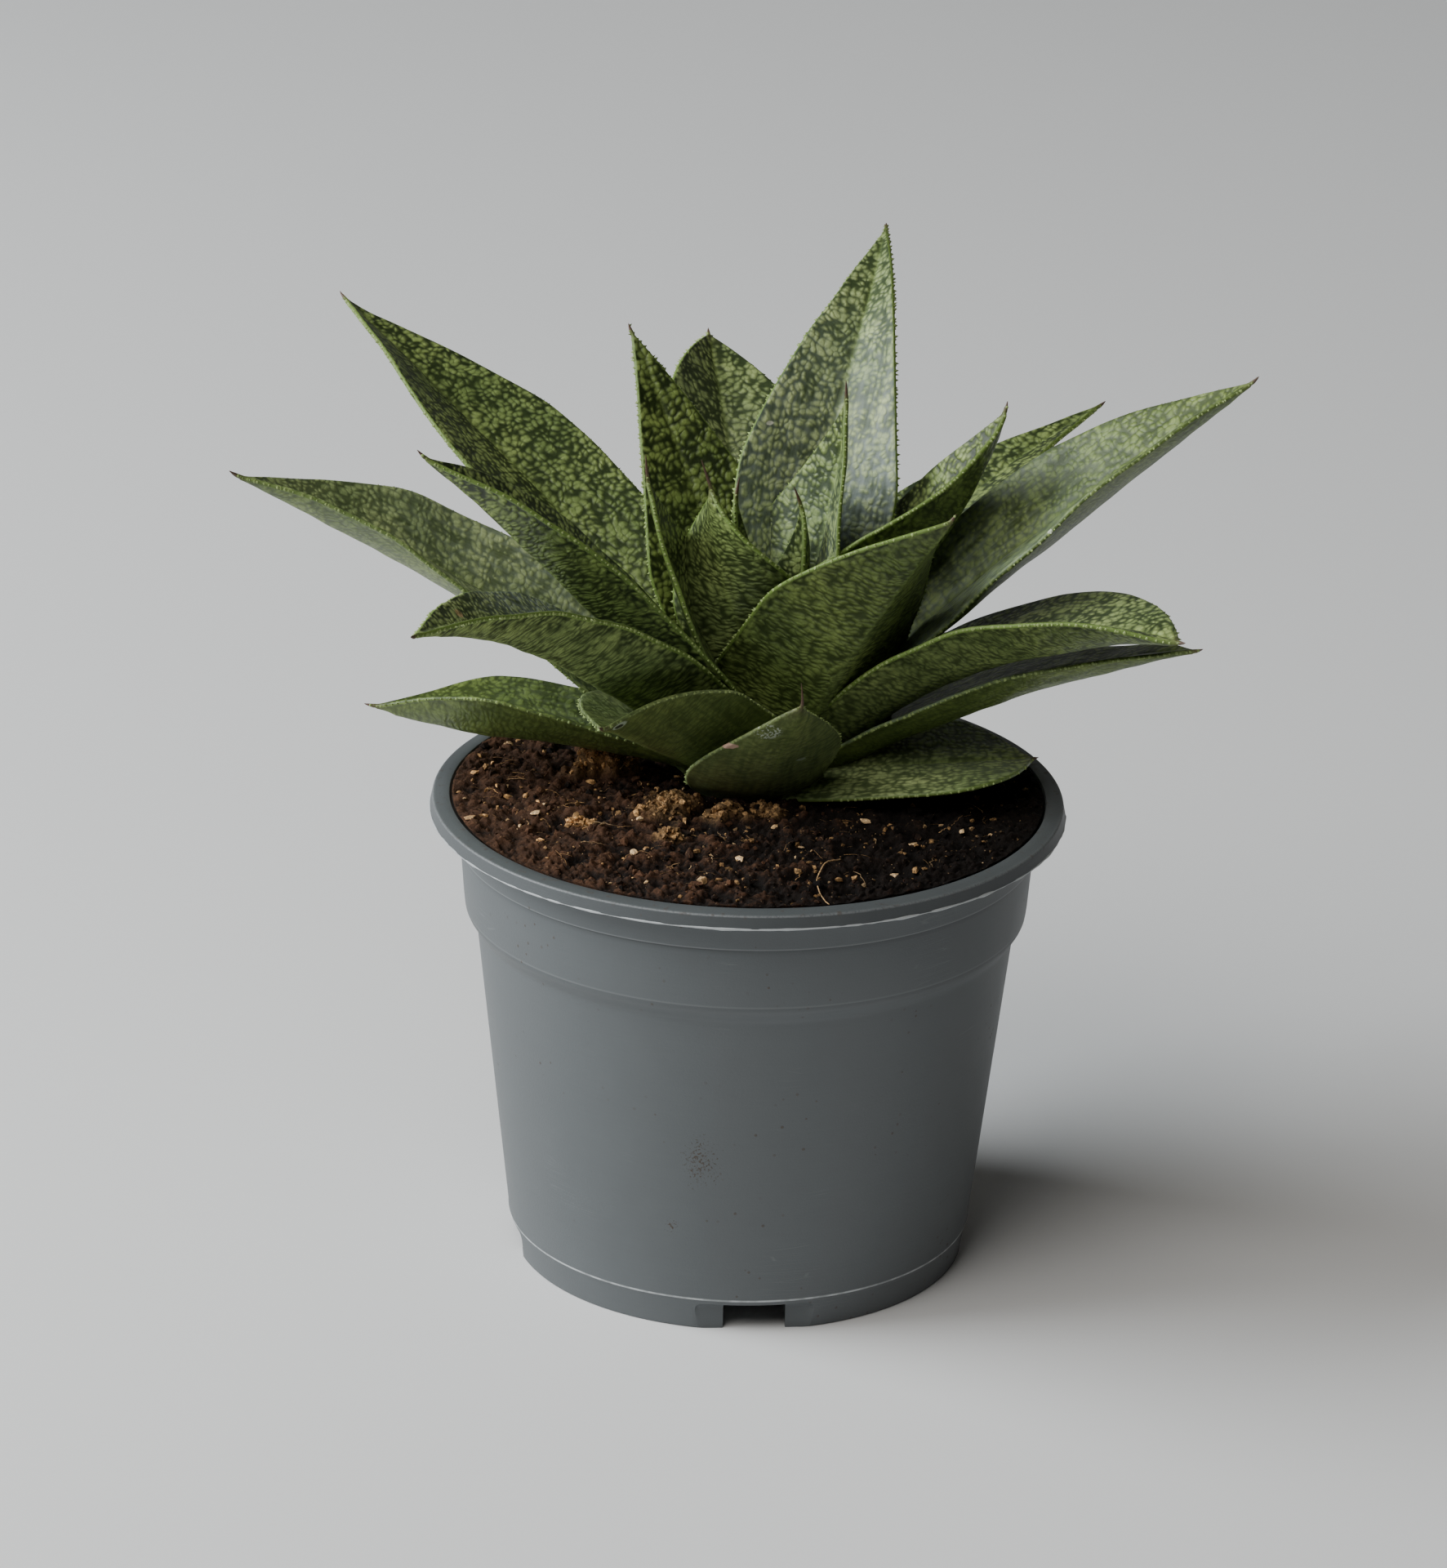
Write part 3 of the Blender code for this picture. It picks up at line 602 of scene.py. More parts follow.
def plastic_finish(settings, flash=False):
    """Matt blue-grey plastic with fine mould grain, dust, scratches and worn edges, with painted
    shade and highlights on the lip, its edges and below it.
    """
    finish = Finish("pot_flash_plastic" if flash else "pot_plastic")
    where = finish.place(POT_MIDDLE)
    x, y, height = finish.parts(where)
    turn = y.maths("ARCTAN2", y, x)

    def patches(scale, detail, low, high):
        return finish.rise(finish.cloud(where, scale, detail), low, high)

    # Mixes in the pale flash colour: real wear on the seam and scratches, and painted highlights on
    # the lip's edge and the steps
    def wear_and_highlight(share, base):
        return finish.mix(share, base, settings.flash_colour)

    grain = finish.cloud(where, 2.6, 3.0, 0.6)
    mottle = finish.cloud(where, 0.11, 3.0, 0.6)
    round_lines = finish.cloud(finish.vector(turn * 3.0, 0.0, height * 2.2), 1.0, 2.0)
    base = finish.vary(0.55, settings.flash_colour if flash else settings.colour, mottle,
                       (0.84, 0.84, 0.85), grey(1.1))
    base = finish.vary(0.25, base, round_lines, (0.85, 0.85, 0.86), grey(1.1))

    # Painted shade darkens the lip and painted light brightens its top; the top's outer edge is
    # worn and carries a painted highlight
    shaded_lip = finish.rise(height, LIP_FOOT - 0.3, LIP_FOOT)
    lit_lip_top = finish.rise(height, LIP_EDGE - 0.1, LIP_EDGE + 0.05)
    base = finish.tint(shaded_lip, base, grey(0.7))
    base = finish.tint(lit_lip_top, base, grey(1.22))
    worn_and_lit_edge = finish.rise(height, LIP_EDGE - 0.45, LIP_EDGE - 0.2) - lit_lip_top
    base = wear_and_highlight(worn_and_lit_edge * 0.16 * finish.rise(grain, 0.2, 0.6), base)

    # Painted highlight just above each edge and painted shade below it, and painted shadow below
    # the lip
    for edge, edge_highlight, shade in ((COLLAR_STEP_HEIGHT, 0.13, 0.8), (SHOULDER_TOP, 0.06, 0.86)):
        base = wear_and_highlight(finish.band(height, edge, edge + 0.06, edge + 0.2, edge + 0.5) * edge_highlight, base)
        above = finish.rise(height, edge, edge + 0.06)
        shade_under_edge = finish.rise(height, edge - 1.4, edge - 0.1) * (1.0 - above)
        base = finish.tint(shade_under_edge, base, grey(shade))
    # Painted shadow of the lip's overhang on the collar
    shadow_under_lip = finish.rise(height, LIP_FOOT - 2.4, LIP_FOOT - 0.4) * (1.0 - shaded_lip)
    base = finish.tint(shadow_under_lip, base, grey(0.8))
    seam = finish.band(height, SEAM_HEIGHT - 0.3, SEAM_HEIGHT - 0.1,
                       SEAM_HEIGHT + 0.08, SEAM_HEIGHT + 0.28)
    base = wear_and_highlight(seam * (0.35 + 0.4 * patches(0.35, 3.0, 0.35, 0.6)), base)

    # Long faint scratches, in patches
    long_cells = finish.node("ShaderNodeMapping", sockets={
        "Vector": finish.vector(turn * 50.0, height, 0.0), "Rotation": (0.0, 0.0, 0.5),
        "Scale": (0.03, 0.9, 1.0)})
    scratch = finish.rise(finish.cells(long_cells, 1.0, "DISTANCE_TO_EDGE"), 0.02, 0.0)
    scratch = scratch * patches(0.06, 2.0, 0.56, 0.7)
    base = wear_and_highlight(scratch * 0.06, base)

    # Specks of soil: strewn, along the top of the lip, and in two small smears on the front
    speck = finish.rise(finish.cells(where, 0.42), 0.16, 0.1) * patches(0.07, 2.0, 0.52, 0.66)
    near_lip = (finish.rise(height, POT_HEIGHT - 1.4, POT_HEIGHT - 0.2)
                * patches(0.5, 4.0, 0.58, 0.74))
    smear_cloud = finish.cloud(where, 2.1, 3.0, 0.7)
    smears = 0.0
    for across, up, reach in ((-7.3, 36.5, 6.0), (-12.6, 21.8, 2.0)):
        far = ((x - across) ** 2.0 + ((height - up) * 0.7) ** 2.0) ** 0.5
        spot = finish.rise(far, reach, 0.0) * finish.rise(y, -30.0, -40.0)
        inside = finish.rise(spot, 0.0, 0.3)
        smears = finish.rise(smear_cloud + spot * 0.17, 0.67, 0.75) * inside + smears
    dirt = (speck * 0.7).larger(near_lip * 0.6).larger(smears)
    base = finish.mix(dirt, base, settings.dust_colour)
    roughness = settings.roughness + 0.12 * (mottle - 0.5) + 0.2 * dirt
    bump = grain * 0.6 + round_lines * 0.25 + dirt * 0.8 - scratch * 0.25
    return finish.surface({"Base Color": base, "Roughness": roughness}, bump, 0.00006)


def earth_finish(settings, name, tone, grain=1.0):
    """Crumbly soil: dark and damp, dry brown, or golden, as the stored matter says, with painted
    shade towards the right and painted light on the golden clump at the left.
    """
    finish = Finish(name)
    where = finish.place(POT_MIDDLE)
    across, _, _ = finish.parts(where)
    golden, pale, chance = finish.stored("matter")
    broad = finish.cloud(where, 0.09, 3.0)
    fine = finish.cloud(where, 1.6, 5.0, 0.7)
    strands = finish.cloud(where, 0.9, 5.0, 0.65, 2.5)
    crumbs = finish.cells(where, 0.85)
    fleck = finish.rise(finish.cells(where, 1.15), 0.2, 0.1) * finish.rise(fine, 0.5, 0.62)
    # Drier at random, and darker towards the right as painted shade of the plant
    dryness_and_shade = fine + 0.5 * (broad - 0.5) + 0.55 * (chance - 0.5) - 0.008 * across
    base = finish.mix(finish.rise(dryness_and_shade, 0.42, 0.8), settings.earth_colour, settings.dry_colour)
    # Painted shade of the plant: darker towards the right
    base = finish.tint(finish.rise(across, -15.0, 45.0), base, (0.5, 0.48, 0.46))
    for share, colour in (
            (golden * finish.rise(fine, 0.25, 0.6), settings.clump_colour),
            (golden * finish.rise(crumbs, 0.55, 0.85) * 0.7, settings.earth_colour)):
        base = finish.mix(share, base, colour)
    # Painted light on the golden clump at the left, under the leaves
    base = finish.tint(golden * finish.rise(across, -18.0, -25.0), base, (1.9, 1.85, 1.8))
    for share in (pale * finish.rise(fine + 0.2 * chance, 0.3, 0.62), fleck * 0.45):
        base = finish.mix(share, base, settings.grit_colour)
    base = finish.vary(1.0, base, chance, grey(0.2 * tone), grey(1.5 * tone))
    base = finish.vary(0.8, base, finish.rise(strands, 0.35, 0.65),
                       (0.45, 0.43, 0.42), (1.3, 1.28, 1.25))
    bump = fine * 0.8 + strands * 0.8 - crumbs * 0.5
    return finish.surface({"Base Color": base, "Roughness": 0.92, "Specular IOR Level": 0.25},
                          bump, 0.00035 * grain)


def leaf_finish(settings):
    """Thick leaf skin: raised spots on a dark ground, a smooth rim, bloom and a dry point."""
    finish = Finish("leaf_skin")
    upper, margin, middle = finish.stored("skin")
    brown, bloom, callus = finish.stored("age")
    pale, rippled, chance = finish.stored("tone")
    relief, _, _ = finish.stored("relief")
    pale = pale * (0.25 + 0.75 * upper)

    # Places on the skin in millimetres, other ones on each leaf, and swayed out of line
    across, along, _ = finish.parts(finish.node("ShaderNodeUVMap", {"uv_map": "surface"}))
    across, along = across * MAP_SIZE + chance * 911.0, along * MAP_SIZE + chance * 577.0
    flat = finish.vector(across, along, 0.0)
    sway = finish.node("ShaderNodeTexNoise", {"noise_dimensions": "2D"}, {
        "Vector": flat, "Scale": 0.2, "Detail": 2.0}, "Color")
    sway_x, sway_y, _ = finish.parts(sway)
    swayed_x, swayed_y = across + 2.4 * (sway_x - 0.5), along + 2.4 * (sway_y - 0.5)
    clump = finish.cloud(flat, 0.23, 2.0, 0.55)
    broad = finish.cloud(flat, 0.06, 2.0, 0.5)
    fine = finish.cloud(flat, 2.1, 3.0, 0.6)
    streaks = finish.cloud(finish.vector(across * 0.75, along * 0.07, 0.0), 1.0, 3.0, 0.6)

    def beads(x, y, randomness, melt, patches, edge):
        """Soft round beads, 1 in the middle of each, fewer where the clump noise is low."""
        far = finish.node("ShaderNodeTexVoronoi",
                          {"voronoi_dimensions": "2D", "feature": "SMOOTH_F1"},
                          {"Vector": finish.vector(x, y, 0.0), "Smoothness": melt,
                           "Scale": 1.0 / (settings.spot_spacing / MM),
                           "Randomness": randomness}, "Distance")
        bright = Value(finish, far.socket.node.outputs["Color"])
        shape = finish.rise(far - patches * (clump - 0.5) - 0.12 * (fine - 0.5), edge, 0.0)
        return shape * (0.72 + 0.45 * bright)

    # Beads in clusters on the upper face, and finer flattened ripples on the lower one
    round_spot = beads(swayed_x, swayed_y, 0.78, 0.14, 1.3, 0.68)
    ripple = beads(swayed_x * 0.8, swayed_y * 1.7, 0.95, 0.1, 0.9, 0.8)
    spot = round_spot + rippled * (0.13 + 0.66 * ripple - round_spot)
    spot = 0.5 + relief * (spot - 0.5)
    wax = bloom * finish.rise(streaks * 0.5 + clump * 0.6, 0.3, 0.75)
    ground = finish.mix(pale, settings.ground_colour, settings.pale_ground)
    ground = finish.mix(wax * 0.85, ground, settings.bloom_colour)
    spots = finish.mix(pale, settings.spot_colour, settings.pale_spot)
    spots = finish.vary(0.8, spots, finish.rise(broad, 0.3, 0.7),
                        (0.66, 0.7, 0.6), (1.15, 1.12, 1.0))
    base = finish.mix(spot * (0.8 + 0.2 * finish.rise(fine, 0.3, 0.6)), ground, spots)
    base = finish.vary(1.2 - relief * 0.7, base, finish.rise(streaks, 0.3, 0.7),
                       (0.7, 0.74, 0.66), (1.24, 1.22, 1.12))
    clear_margin = (finish.rise(margin + 0.3 * (fine - 0.5), 0.5, 0.9)
                    * finish.rise(relief, 0.1, 0.9))
    for share, colour in (
            (wax * 0.2, settings.bloom_colour),
            (middle * finish.rise(fine, 0.2, 0.6) * 0.4, settings.spot_colour),
            (clear_margin, settings.margin_colour),
            (callus, settings.tooth_colour),
            (brown, settings.point_colour)):
        base = finish.mix(share, base, colour)

    x, y, z = finish.parts(finish.place(POT_MIDDLE))
    for (aside, deep, up), reach, rise, broken, colour in MARKS:
        level = ((x - aside) ** 2.0 + (y - deep) ** 2.0) * (1.0 / reach ** 2.0)
        far = (level + (z - up) ** 2.0 * (1.0 / rise ** 2.0)) ** 0.5 + 0.6 * (fine - 0.5)
        mark = finish.rise(far, 1.05, 0.8)
        if broken > 0.0:
            mark = mark * (1.0 - broken * finish.rise(fine + 0.4 * (clump - 0.5), 0.6, 0.48))
        base = finish.mix(mark, base, colour)
    roughness = 0.46 + 0.1 * bloom + 0.1 * (fine - 0.5)
    bump = ((1.0 - margin) * (spot * 1.0 + fine * 0.2 + streaks * 0.2)
            + margin * fine * 0.6)
    return finish.surface({"Base Color": base, "Roughness": roughness,
                           "Specular IOR Level": 0.35}, bump, 0.0002)


def stem_finish(settings):
    """Green stem with pale rings where old leaves were."""
    finish = Finish("stem_skin")
    where = finish.place(POT_MIDDLE)
    _, _, height = finish.parts(where)
    mottle = finish.cloud(where, 0.5, 4.0)
    rings = height.maths("SINE", height * 2.1 + mottle * 3.0)
    base = finish.mix(finish.rise(rings, 0.4, 1.0) * 0.5, settings.colour, settings.ring_colour)
    base = finish.vary(0.8, base, mottle, (0.5, 0.5, 0.45), (1.15, 1.15, 1.1))
    return finish.surface({"Base Color": base, "Roughness": 0.62}, mottle + 0.5 * rings, 0.0002)


def arc(centre, radius, start, end, count):
    angles = np.radians(np.linspace(start, end, count))
    return [(centre[0] + radius * math.cos(a), centre[1] + radius * math.sin(a)) for a in angles]


def collar_radius(height):
    share = (height - SHOULDER_TOP) / (LIP_FOOT - SHOULDER_TOP)
    return COLLAR_FOOT_RADIUS + share * (COLLAR_RADIUS - COLLAR_FOOT_RADIUS)


def body_radius(height):
    share = (height - SEAM_HEIGHT) / (SHOULDER_FOOT - SEAM_HEIGHT)
    return BODY_FOOT_RADIUS + share * (BODY_TOP_RADIUS - BODY_FOOT_RADIUS)


def shoulder(offset, count):
    """The rounded shoulder from its top to its foot."""
    share = np.linspace(0.0, 1.0, count)
    ease = share * share * (3.0 - 2.0 * share)
    radius = COLLAR_FOOT_RADIUS - ease * (COLLAR_FOOT_RADIUS - BODY_TOP_RADIUS) - offset
    return list(zip(radius, SHOULDER_TOP - share * (SHOULDER_TOP - SHOULDER_FOOT)))


def pot_profile():
    """The shell's profile: up its inside from the middle of the floor, then down its outside."""
    floor = FLOOR_UNDERSIDE + WALL
    corner = body_radius(floor + FLOOR_CORNER) - WALL
    flare = RIM_RADIUS + LIP_FLARE
    step = COLLAR_STEP_HEIGHT
    step_foot = step - COLLAR_STEP_REACH
    foot_flare = FOOT_RADIUS + FOOT_FLARE
    seam_foot = SEAM_HEIGHT - SEAM_DEPTH
    return [
        (0.0, floor),
        (FLOOR_RING_RADIUS, floor),
        *arc((corner - FLOOR_CORNER, floor + FLOOR_CORNER), FLOOR_CORNER, -90, 0, 5),
        *reversed(shoulder(WALL, 8)),
        (COLLAR_RADIUS - WALL, LIP_FOOT + LIP_INNER_RISE),
        (LIP_BORE_RADIUS - LIP_BORE_CHAMFER, POT_HEIGHT - LIP_BORE_DEPTH),
        (LIP_BORE_RADIUS, POT_HEIGHT - LIP_BORE_CHAMFER),
        (LIP_BORE_RADIUS + 0.1, POT_HEIGHT - 0.08),
        (LIP_BORE_RADIUS + LIP_BORE_CHAMFER, POT_HEIGHT),
        ((LIP_BORE_RADIUS + RIM_RADIUS) / 2, POT_HEIGHT - LIP_SLOPE / 2),
        *arc((RIM_RADIUS - LIP_ROUND, LIP_EDGE - LIP_ROUND), LIP_ROUND, 84, 5, 9),
        (flare - 0.04, LIP_FOOT + 0.25),
        (flare, LIP_FOOT + 0.1),
        (flare - 0.1, LIP_FOOT),
        (COLLAR_RADIUS + COLLAR_ROUND, LIP_FOOT),
        *arc((COLLAR_RADIUS + COLLAR_ROUND, LIP_FOOT - COLLAR_ROUND), COLLAR_ROUND, 90, 180, 4)[1:],
        (collar_radius(step + 0.12), step + 0.12),
        (collar_radius(step) - COLLAR_STEP_DEPTH, step),
        (collar_radius(step_foot) - COLLAR_STEP_DEPTH * 0.5, step_foot),
        (collar_radius(SHOULDER_TOP + 2.0), SHOULDER_TOP + 2.0),
        *shoulder(0.0, 10),
        *[(body_radius(height), height) for height in (60.0, 45.0, 30.0, 15.0, SEAM_HEIGHT + 0.6)],
        (BODY_FOOT_RADIUS + 0.12, SEAM_HEIGHT + 0.12),
        (BODY_FOOT_RADIUS + 0.05, SEAM_HEIGHT - 0.15),
        (foot_flare + 0.08, seam_foot + 0.15),
        (foot_flare, seam_foot - 0.2),
        *arc((FOOT_RADIUS - FOOT_ROUND, FOOT_ROUND), FOOT_ROUND, 0, -90, 4),
        (FOOT_INNER_RADIUS + 0.2, 0.0),
        (FOOT_INNER_RADIUS, 0.2),
        (FOOT_INNER_RADIUS, FLOOR_UNDERSIDE),
        (FLOOR_RING_RADIUS, FLOOR_UNDERSIDE),
        (0.0, FLOOR_UNDERSIDE),
    ]


def drawn_line(points):
    """Draws a profile in the XZ plane by extruding one point from place to place."""
    pick()
    bpy.ops.mesh.primitive_plane_add(size=1.0)
    piece = bpy.context.object
    bpy.ops.object.mode_set(mode="EDIT")
    bpy.ops.mesh.select_all(action="SELECT")
    bpy.ops.mesh.merge(type="CENTER")
    bpy.ops.transform.translate(value=(points[0][0] * MM, 0.0, points[0][1] * MM))
    for (r0, z0), (r1, z1) in zip(points, points[1:]):
        bpy.ops.mesh.extrude_region_move(
            TRANSFORM_OT_translate={"value": ((r1 - r0) * MM, 0.0, (z1 - z0) * MM)})
    bpy.ops.object.mode_set(mode="OBJECT")
    return piece


def foot_cutter(width, height, inner, turn, corner):
    """A block across the pot's foot, from a radius outwards, with rounded corners."""
    low, outer = -1.0, BODY_FOOT_RADIUS + NOTCH_REACH
    angle = math.radians(turn)
    middle = (inner + outer) / 2
    pick()
    bpy.ops.mesh.primitive_cube_add(
        size=MM, rotation=(0.0, 0.0, angle),
        location=(middle * MM * math.cos(angle), middle * MM * math.sin(angle),
                  (height + low) / 2 * MM))
    block = bpy.context.object
    block.scale = (outer - inner, width, height - low)
    settle(block)
    rounding = block.modifiers.new("corners", "BEVEL")
    rounding.width = corner * MM
    rounding.segments = 4
    apply_modifiers(block)
    return block


class MakePot(bpy.types.Operator):
    """Turns the moulded pot and cuts its foot notches"""
    bl_idname = "gasteria.make_pot"
    bl_label = "Make pot"
    bl_options = {"REGISTER", "UNDO"}

    def execute(self, context):
        settings = context.scene.gasteria_pot
        self.make_shell(settings)
        self.make_flash(settings)
        return {"FINISHED"}

    def make_shell(self, settings):
        shell = drawn_line(pot_profile())
        edit(shell, lambda: bpy.ops.mesh.spin(steps=settings.steps, angle=math.tau,
                                              center=(0.0, 0.0, 0.0), axis=(0.0, 0.0, 1.0)))
        close_skin(shell)
        blocks = []
        for i in range(NOTCH_COUNT):
            turn = -90.0 + NOTCH_TURN + i * 360.0 / NOTCH_COUNT
            blocks.append(foot_cutter(NOTCH_WIDTH, NOTCH_HEIGHT, FOOT_INNER_RADIUS - NOTCH_REACH,
                                      turn, NOTCH_CORNER))
            blocks.append(foot_cutter(RECESS_WIDTH, RECESS_HEIGHT, FOOT_RADIUS - RECESS_DEPTH,
                                      turn, RECESS_CORNER))
        for block in blocks:
            cut = shell.modifiers.new("cut", "BOOLEAN")
            cut.operation = "DIFFERENCE"
            cut.solver = "EXACT"
            cut.object = block
        apply_modifiers(shell)
        remove(*blocks)
        finish_piece(shell, "pot_shell", "pot_plastic", plastic_finish(settings), "pot", angle=32.0)

    def make_flash(self, settings):
        """The thin ragged flash under the lip's outer edge."""
        middle = Vector((0.0, 0.0, (LIP_FOOT + 0.02) * MM))
        pick()
        bpy.ops.mesh.primitive_torus_add(
            major_segments=900, minor_segments=6, major_radius=FLASH_RADIUS * MM,
            minor_radius=FLASH_THICKNESS * MM, location=middle)
        flash = bpy.context.object
        settle(flash)
        for vertex in flash.data.vertices:
            flat = Vector((vertex.co.x, vertex.co.y, 0.0))
            core = flat.normalized() * FLASH_RADIUS * MM + middle
            ragged = noise.noise(flat * 260.0) + 0.7 * noise.noise(flat * 900.0)
            vertex.co = core + (vertex.co - core) * clamp(1.05 + 0.9 * ragged, 0.5, 1.8)
            vertex.co.z -= 0.1 * MM * max(0.0, noise.noise(flat * 420.0 + middle * 90.0))
        finish_piece(flash, "pot_lip_flash", "pot_plastic", plastic_finish(settings, True))


def soil_height(x, y):
    """The soil's broad surface in mm, as the solid has it."""
    away = math.hypot(x, y)
    mound = max(0.0, 1.0 - (away / RIM_RADIUS) ** 2) ** 0.8
    lumps = noise.noise(Vector((x, y, 0.0)) / SOIL_LUMP_SPACING)
    settled = min(1.0, (LIP_BORE_RADIUS - away) / SOIL_CALM_WIDTH)
    rise = SOIL_CROWN_HEIGHT - SOIL_EDGE_HEIGHT
    return SOIL_EDGE_HEIGHT + rise * mound + SOIL_LUMP * settled * lumps


def clump_share(x, y):
    """How far a place lies in a golden clump, and how much the clump lifts it in mm."""
    share, lift = 0.0, 0.0
    wander = noise.noise(Vector((x, y, 5.0)) / 3.0) * 0.5
    for cx, cy, along, across, turn, rise in CLUMPS:
        angle = math.radians(turn)
        dx, dy = x - cx, y - cy
        u = (dx * math.cos(angle) + dy * math.sin(angle)) / along
        v = (-dx * math.sin(angle) + dy * math.cos(angle)) / across
        inside = clamp(1.6 * (1.0 - math.hypot(u, v) + wander))
        share = max(share, inside)
        lift = max(lift, inside * rise)
    return share, lift


def crumb_relief(x, y):
    """Crumbs of the soil's surface in mm."""
    place = Vector((x, y, 0.0))
    sway = noise.noise_vector(place / 1.4) * 0.5

    def nearest(spacing):
        """The nearest two crumbs of a spacing, and how high the nearest one stands here."""
        near = noise.voronoi(place / spacing + sway)[0]
        return near, math.sqrt(max(0.0, 1.0 - (near[0] / 0.75) ** 2))

    near, large = nearest(CRUMB_SPACING)
    _, small = nearest(SMALL_CRUMB_SPACING)
    relief = CRUMB_HEIGHT * large * min(1.0, 3.0 * (near[1] - near[0]))
    relief += SMALL_CRUMB_HEIGHT * small
    relief += 0.4 * noise.noise(place / 0.8) + 1.3 * noise.noise(place / 4.2)
    return relief - 0.55


def bed_height(x, y):
    """The finished height of the soil bed in mm."""
    calm = clamp((SOIL_RADIUS + 0.6 - math.hypot(x, y)) / 2.2, 0.12)
    return soil_height(x, y) + calm * (crumb_relief(x, y) + clump_share(x, y)[1])


def chunks(rng, roughness):
    """A few rough stones or crumbs, a unit across."""
    stones = []
    for _ in range(CHUNK_FORMS):
        pick()
        bpy.ops.mesh.primitive_ico_sphere_add(subdivisions=1, radius=0.5)
        stones.append(bpy.context.object)
        for vertex in stones[-1].data.vertices:
            vertex.co *= 1.0 + roughness * rng.uniform(-1.0, 1.0)
    return stones


class Copier:
    """Gathers the places and the stored matter of many copies of a few forms."""

    def __init__(self, rng, forms):
        self.rng, self.forms = rng, forms
        self.places, self.matter = [[] for _ in forms], [[] for _ in forms]

    def turn(self, tilt, axis):
        """A random turn about the vertical after a random tilt of up to so much."""
        spin = Matrix.Rotation(self.rng.uniform(0, math.tau), 4, "Z")
        return spin @ Matrix.Rotation(self.rng.uniform(-tilt, tilt), 4, axis)

    def add(self, kind, place, matter):
        self.places[kind].append(place)
        self.matter[kind].append(matter)

    def piece(self):
        """One piece of all the copies. The forms go."""
        made = []
        for form, places, matter in zip(self.forms, self.places, self.matter):
            if places:
                made.append(copies(form, places))
                shades = np.repeat(np.array(matter), len(form.data.vertices), 0)
                give_values(made[-1], "matter", shades)
        remove(*self.forms)
        return join(*made)


def strewn(rng, forms, places, sizes, matter, flatness=(0.55, 0.95), sink=0.25):
    """Strews copies of a few forms at places on the bed, each turned and sized at random."""
    copier = Copier(rng, forms)
    for (x, y), size, shade in zip(places, sizes, matter):
        kind = rng.integers(len(forms))
        turn = copier.turn(0.6, "X")
        form = Matrix.Diagonal((rng.uniform(0.8, 1.5) * size, 0.8 * size,
                                size * rng.uniform(*flatness), 1.0))
        z = bed_height(x, y) + size * (0.5 - sink) * flatness[0]
        place = Matrix.Translation(in_metres(x, y, z))
        copier.add(kind, place @ turn @ Matrix.Scale(MM, 4) @ form, shade)
    return copier.piece()


def thread(path, radii, sides=3):
    """Rings of points round a path in mm, for a thin closed thread."""
    path, radii = np.asarray(path, float), np.asarray(radii, float)
    along = np.gradient(path, axis=0)
    along /= np.linalg.norm(along, axis=1)[:, None]
    aside = np.cross(along, (0.13, 0.21, 0.97))
    aside /= np.linalg.norm(aside, axis=1)[:, None]
    over = np.cross(along, aside)
    angles = np.linspace(0.0, math.tau, sides + 1)[None, :, None]
    ring = aside[:, None] * np.cos(angles) + over[:, None] * np.sin(angles)
    rings = path[:, None] + ring * radii[:, None, None]
    rings[:, -1] = rings[:, 0]
    ends = [np.repeat(path[i][None], sides + 1, 0)[None] for i in (0, -1)]
    return np.concatenate([ends[0], rings, ends[1]])


